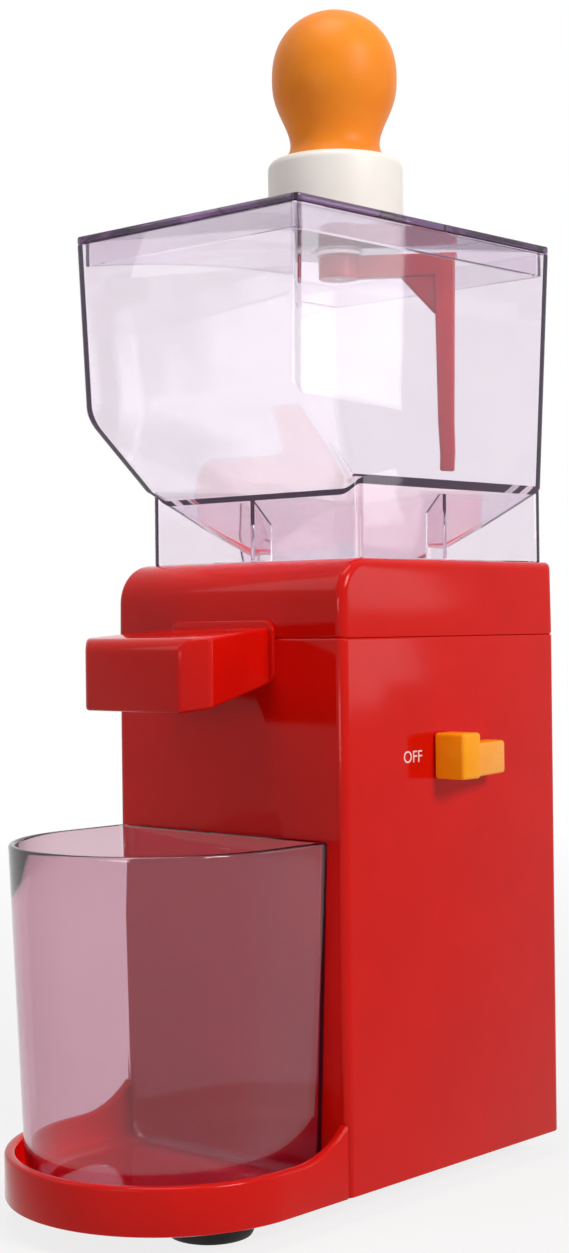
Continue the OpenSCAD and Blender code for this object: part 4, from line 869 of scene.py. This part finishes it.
# ---------------------------------------------------------------- lid
# A flat clear lid with an inner skirt that drops into the hopper's rim and a boss in the middle,
# with a white flanged bushing pressed in for the stirrer's shaft.
lid_top, boss_top, drop_x, drop_front, drop_back, drop_low = 317.5, 325.5, 48, 73.1, 53.4, 307
lid = lofted("hopper_lid", [
    rounded(-rim_x + d, rim_x - d, -rim_front + d, rim_back - d, bin_r - d, z, 8)
    for d, z in ((0.5, rim_top), (0.15, 315.15), (0, 315.5), (0, 316.9), (0.18, 317.32), (0.6, lid_top))])
drop = lofted("drop", [
    rounded(-drop_x + d, drop_x - d, -drop_front + d, drop_back - d, max(2 - d, 0.5), z, 6)
    for d, z in ((0, 315.4), (0, 307.3), (0.3, drop_low), (1.5, drop_low), (1.8, 307.3), (1.8, 315.4))], ends=False)
boss = turned("boss", [
    (0, 316), (9.6, 316), (9.6, lid_top), (9.1, 318), (9, 318.6), (9, 325.1), (8.6, boss_top), (0, boss_top)],
    steps=56)
worked(lid, "UNION", drop, boss)
worked(lid, "DIFFERENCE", rod(6, 310, 330, steps=56), crease=24)
fit(lid, "lid", "clear_plastic", lilac, "hopper_lid")
ivory = plastic(
    "white_moulding", (0.93, 0.89, 0.83), (0.9, 0.85, 0.78), 0.4, gloss=0.4, patch=60, grain=1600, dent=3e-6,
    sway=2e-5)
bushing = turned("lid_bushing", [
    (4.05, 313.8), (7.7, 313.8), (8, 314.1), (8, rim_top), (6, rim_top), (6, 325.3), (5.8, boss_top),
    (4.3, boss_top), (4.05, 325.2)], steps=56)
fit(bushing, "lid", "white_plastic", ivory, "lid_bushing")


# ---------------------------------------------------------------- stirrer
# A steel shaft through the lid with a red paddle below, held by a screw, and above it a white hub
# and an egg shaped orange knob, both pressed on. Turning the knob sweeps the paddle round.
dress(ground, "stir_shaft")
shaft_r, hub_r, hub_low, hub_top, hub_round = 4, 23.4, 317.8, 346.5, 3
hub_arc = [radians(90 * i / 6) for i in range(7)]
hub = turned("stir_hub", (
    [(shaft_r, hub_top)]
    + [(hub_r - hub_round + hub_round * sin(a), hub_top - hub_round + hub_round * cos(a)) for a in hub_arc]
    + [(hub_r, 318.5), (23.2, 318), (22.8, hub_low), (21.8, hub_low), (21.4, 318.2), (21.4, 342.6), (20.5, 343.5)]
    + [(7.4, 343.5), (7, 343.1), (7, 327.2), (6.6, 326.8), (shaft_r, 326.8)]), steps=96)
ribs = [slab(6.5, 21.8, -0.8, 0.8, 326.8, 343.7, 0.2, 2) for _ in range(6)]
for i, rib in enumerate(ribs):
    rib.data.transform(Matrix.Rotation(radians(60 * i), 4, "Z"))
worked(hub, "UNION", *ribs)
fit(hub, "stirrer", "white_plastic", ivory, "stir_hub")

orange = plastic(
    "orange_knob", (0.96, 0.285, 0.018), (0.91, 0.24, 0.013), 0.42, gloss=0.2, patch=45, grain=1300, dent=5e-6,
    sway=4e-5)
knob_low, knob_h, knob_r, neck_r, foot_r = hub_top, 52.2, 21.7, 15.5, 18.5
knob_top, knob_mid, knob_neck = knob_low + knob_h, knob_low + knob_h * 0.55, knob_low + 5.6


def knob_width(z):
    """Radius of the knob: an egg above its widest ring, a soft waist and a flared foot below."""
    if z > knob_mid:
        return knob_r * sqrt(max(0, 1 - ((z - knob_mid) / (knob_top - knob_mid)) ** 2.3))
    if z > knob_neck:
        return neck_r + (knob_r - neck_r) * (1 + cos(pi * ((knob_mid - z) / (knob_mid - knob_neck)) ** 1.25)) / 2
    return neck_r + (foot_r - neck_r) * ((knob_neck - z) / (knob_neck - knob_low)) ** 2


levels = [knob_low + 0.5 + (knob_h - 0.5) * (1 - (1 - i / 56) ** 1.9) for i in range(57)]
knob = turned("stir_knob", (
    [(0, 358.5), (shaft_r, 358.5), (shaft_r, knob_low), (foot_r - 0.8, knob_low), (foot_r - 0.3, knob_low + 0.12)]
    + [(knob_width(z), z) for z in levels]), steps=112)
fit(knob, "stirrer", "orange_plastic", orange, "stir_knob")

crimson = plastic("red_paddle", (0.31, 0.002, 0.004), (0.26, 0.002, 0.003), 0.3, gloss=0.25, patch=60)
arm_top, arm_low, paddle_r, bar_low, bar_half, soft_edge = 313.5, 305.7, 36.6, 237.5, 2.5, 0.7


def upright(outline, half):
    """A flat bar over an outline in X and Z, half as thick each way along Y."""
    return lofted("bar", [[(x, y, z) for x, z in outline] for y in (-half, half)])


arm = [(0, arm_low), (paddle_r, arm_low), (paddle_r, arm_top), (0, arm_top)]
paddle = eased(upright(arm, bar_half), soft_edge)
paddle.name = "stir_paddle"
bar = eased(upright([(33, arm_top), (34.1, bar_low), (39.1, bar_low), (40.2, arm_top)], bar_half), soft_edge)
brace = [(19.9, arm_low + 1.5), (36, arm_low + 1.5), (36, arm_low - 13), (33, arm_low - 13)]
worked(paddle, "UNION", bar, eased(upright(brace, 1.5), soft_edge))
worked(paddle, "UNION", turned("boss", [
    (0, arm_low), (6.6, arm_low), (7, arm_low + 0.4), (7, 313.1), (6.6, arm_top), (0, arm_top)], steps=48))
worked(paddle, "DIFFERENCE", rod(shaft_r, 306.7, 315), rod(pass_r, 304, 308))
paddle.data.transform(Matrix.Rotation(radians(35), 4, "Z"))
fit(paddle, "stirrer", "paddle_plastic", crimson, "stir_paddle")


# ---------------------------------------------------------------- cup
# A clear cup with a redder tint than the hopper's, round in front and flat behind, where it stands
# close to the column, a little narrower at its foot, with a soft lower edge and a round rim.
cup_centre, cup_low, cup_rim, cup_wall = 87.7, 11.3, 118.8, 2.2
cup_rim_w, cup_foot_w, cup_back, cup_edge, cup_corner = 47.5, 43.5, -59.5, 9, 3.2


def cup_ring(half, back, corner, z):
    """The cup's outline: flat back with round corners, straight sides and a half circle in front."""
    def bend(x, start):
        """A round corner about x, from a starting angle on."""
        turns = (radians(start - 90 * i / 8) for i in range(9))
        return [(x + corner * cos(a), back - corner + corner * sin(a)) for a in turns]

    straight = [back - corner - (cup_centre + back - corner) * i / 5 for i in range(1, 5)]
    ring = bend(half - corner, 90) + [(half, y) for y in straight]
    ring += [(half * cos(a), -cup_centre + half * sin(a)) for a in (radians(-180 * i / 72) for i in range(73))]
    ring += [(-half, y) for y in reversed(straight)] + bend(corner - half, 180)
    return [(x, y, z) for x, y in ring]


def cup_levels(t, top):
    """Rings from the edge of the floor up to the rim, t inside the outer face."""
    edge, foot_back, base = cup_edge - t, 3 - t * 0.5, cup_low + cup_edge
    rings = []
    for i in range(9):
        a = radians(90 * i / 8)
        draw_in = 1 - sin(a)
        rings.append(cup_ring(
            cup_foot_w - t - edge * draw_in, cup_back - t - foot_back * draw_in,
            cup_corner + 2 * draw_in - t * 0.8, cup_low + t + edge * (1 - cos(a))))
    for step in range(1, 7):
        z = base + (top - base) * step / 6
        half = cup_foot_w + (cup_rim_w - cup_foot_w) * (z - base) / (cup_rim - base)
        rings.append(cup_ring(half - t, cup_back - t, cup_corner - t * 0.8, z))
    return rings


outside = cup_levels(0, cup_rim - 1)
inside = cup_levels(cup_wall, cup_rim - 1)
lip = []
for i in range(1, 6):
    a = radians(180 * i / 6)
    d = cup_wall / 2 * (1 - cos(a))
    lip.append(cup_ring(cup_rim_w - d, cup_back - d, cup_corner - d * 0.8, cup_rim - 1 + sin(a)))
cup = lofted("cup", outside + lip + list(reversed(inside)), crease=40)
violet = clear_plastic("violet_acrylic", (0.58, 0.0, 0.2), 0.03, 185, (0.2, 0.06, 0.17), 0.025)
fit(cup, "cup", "clear_plastic", violet, "cup")
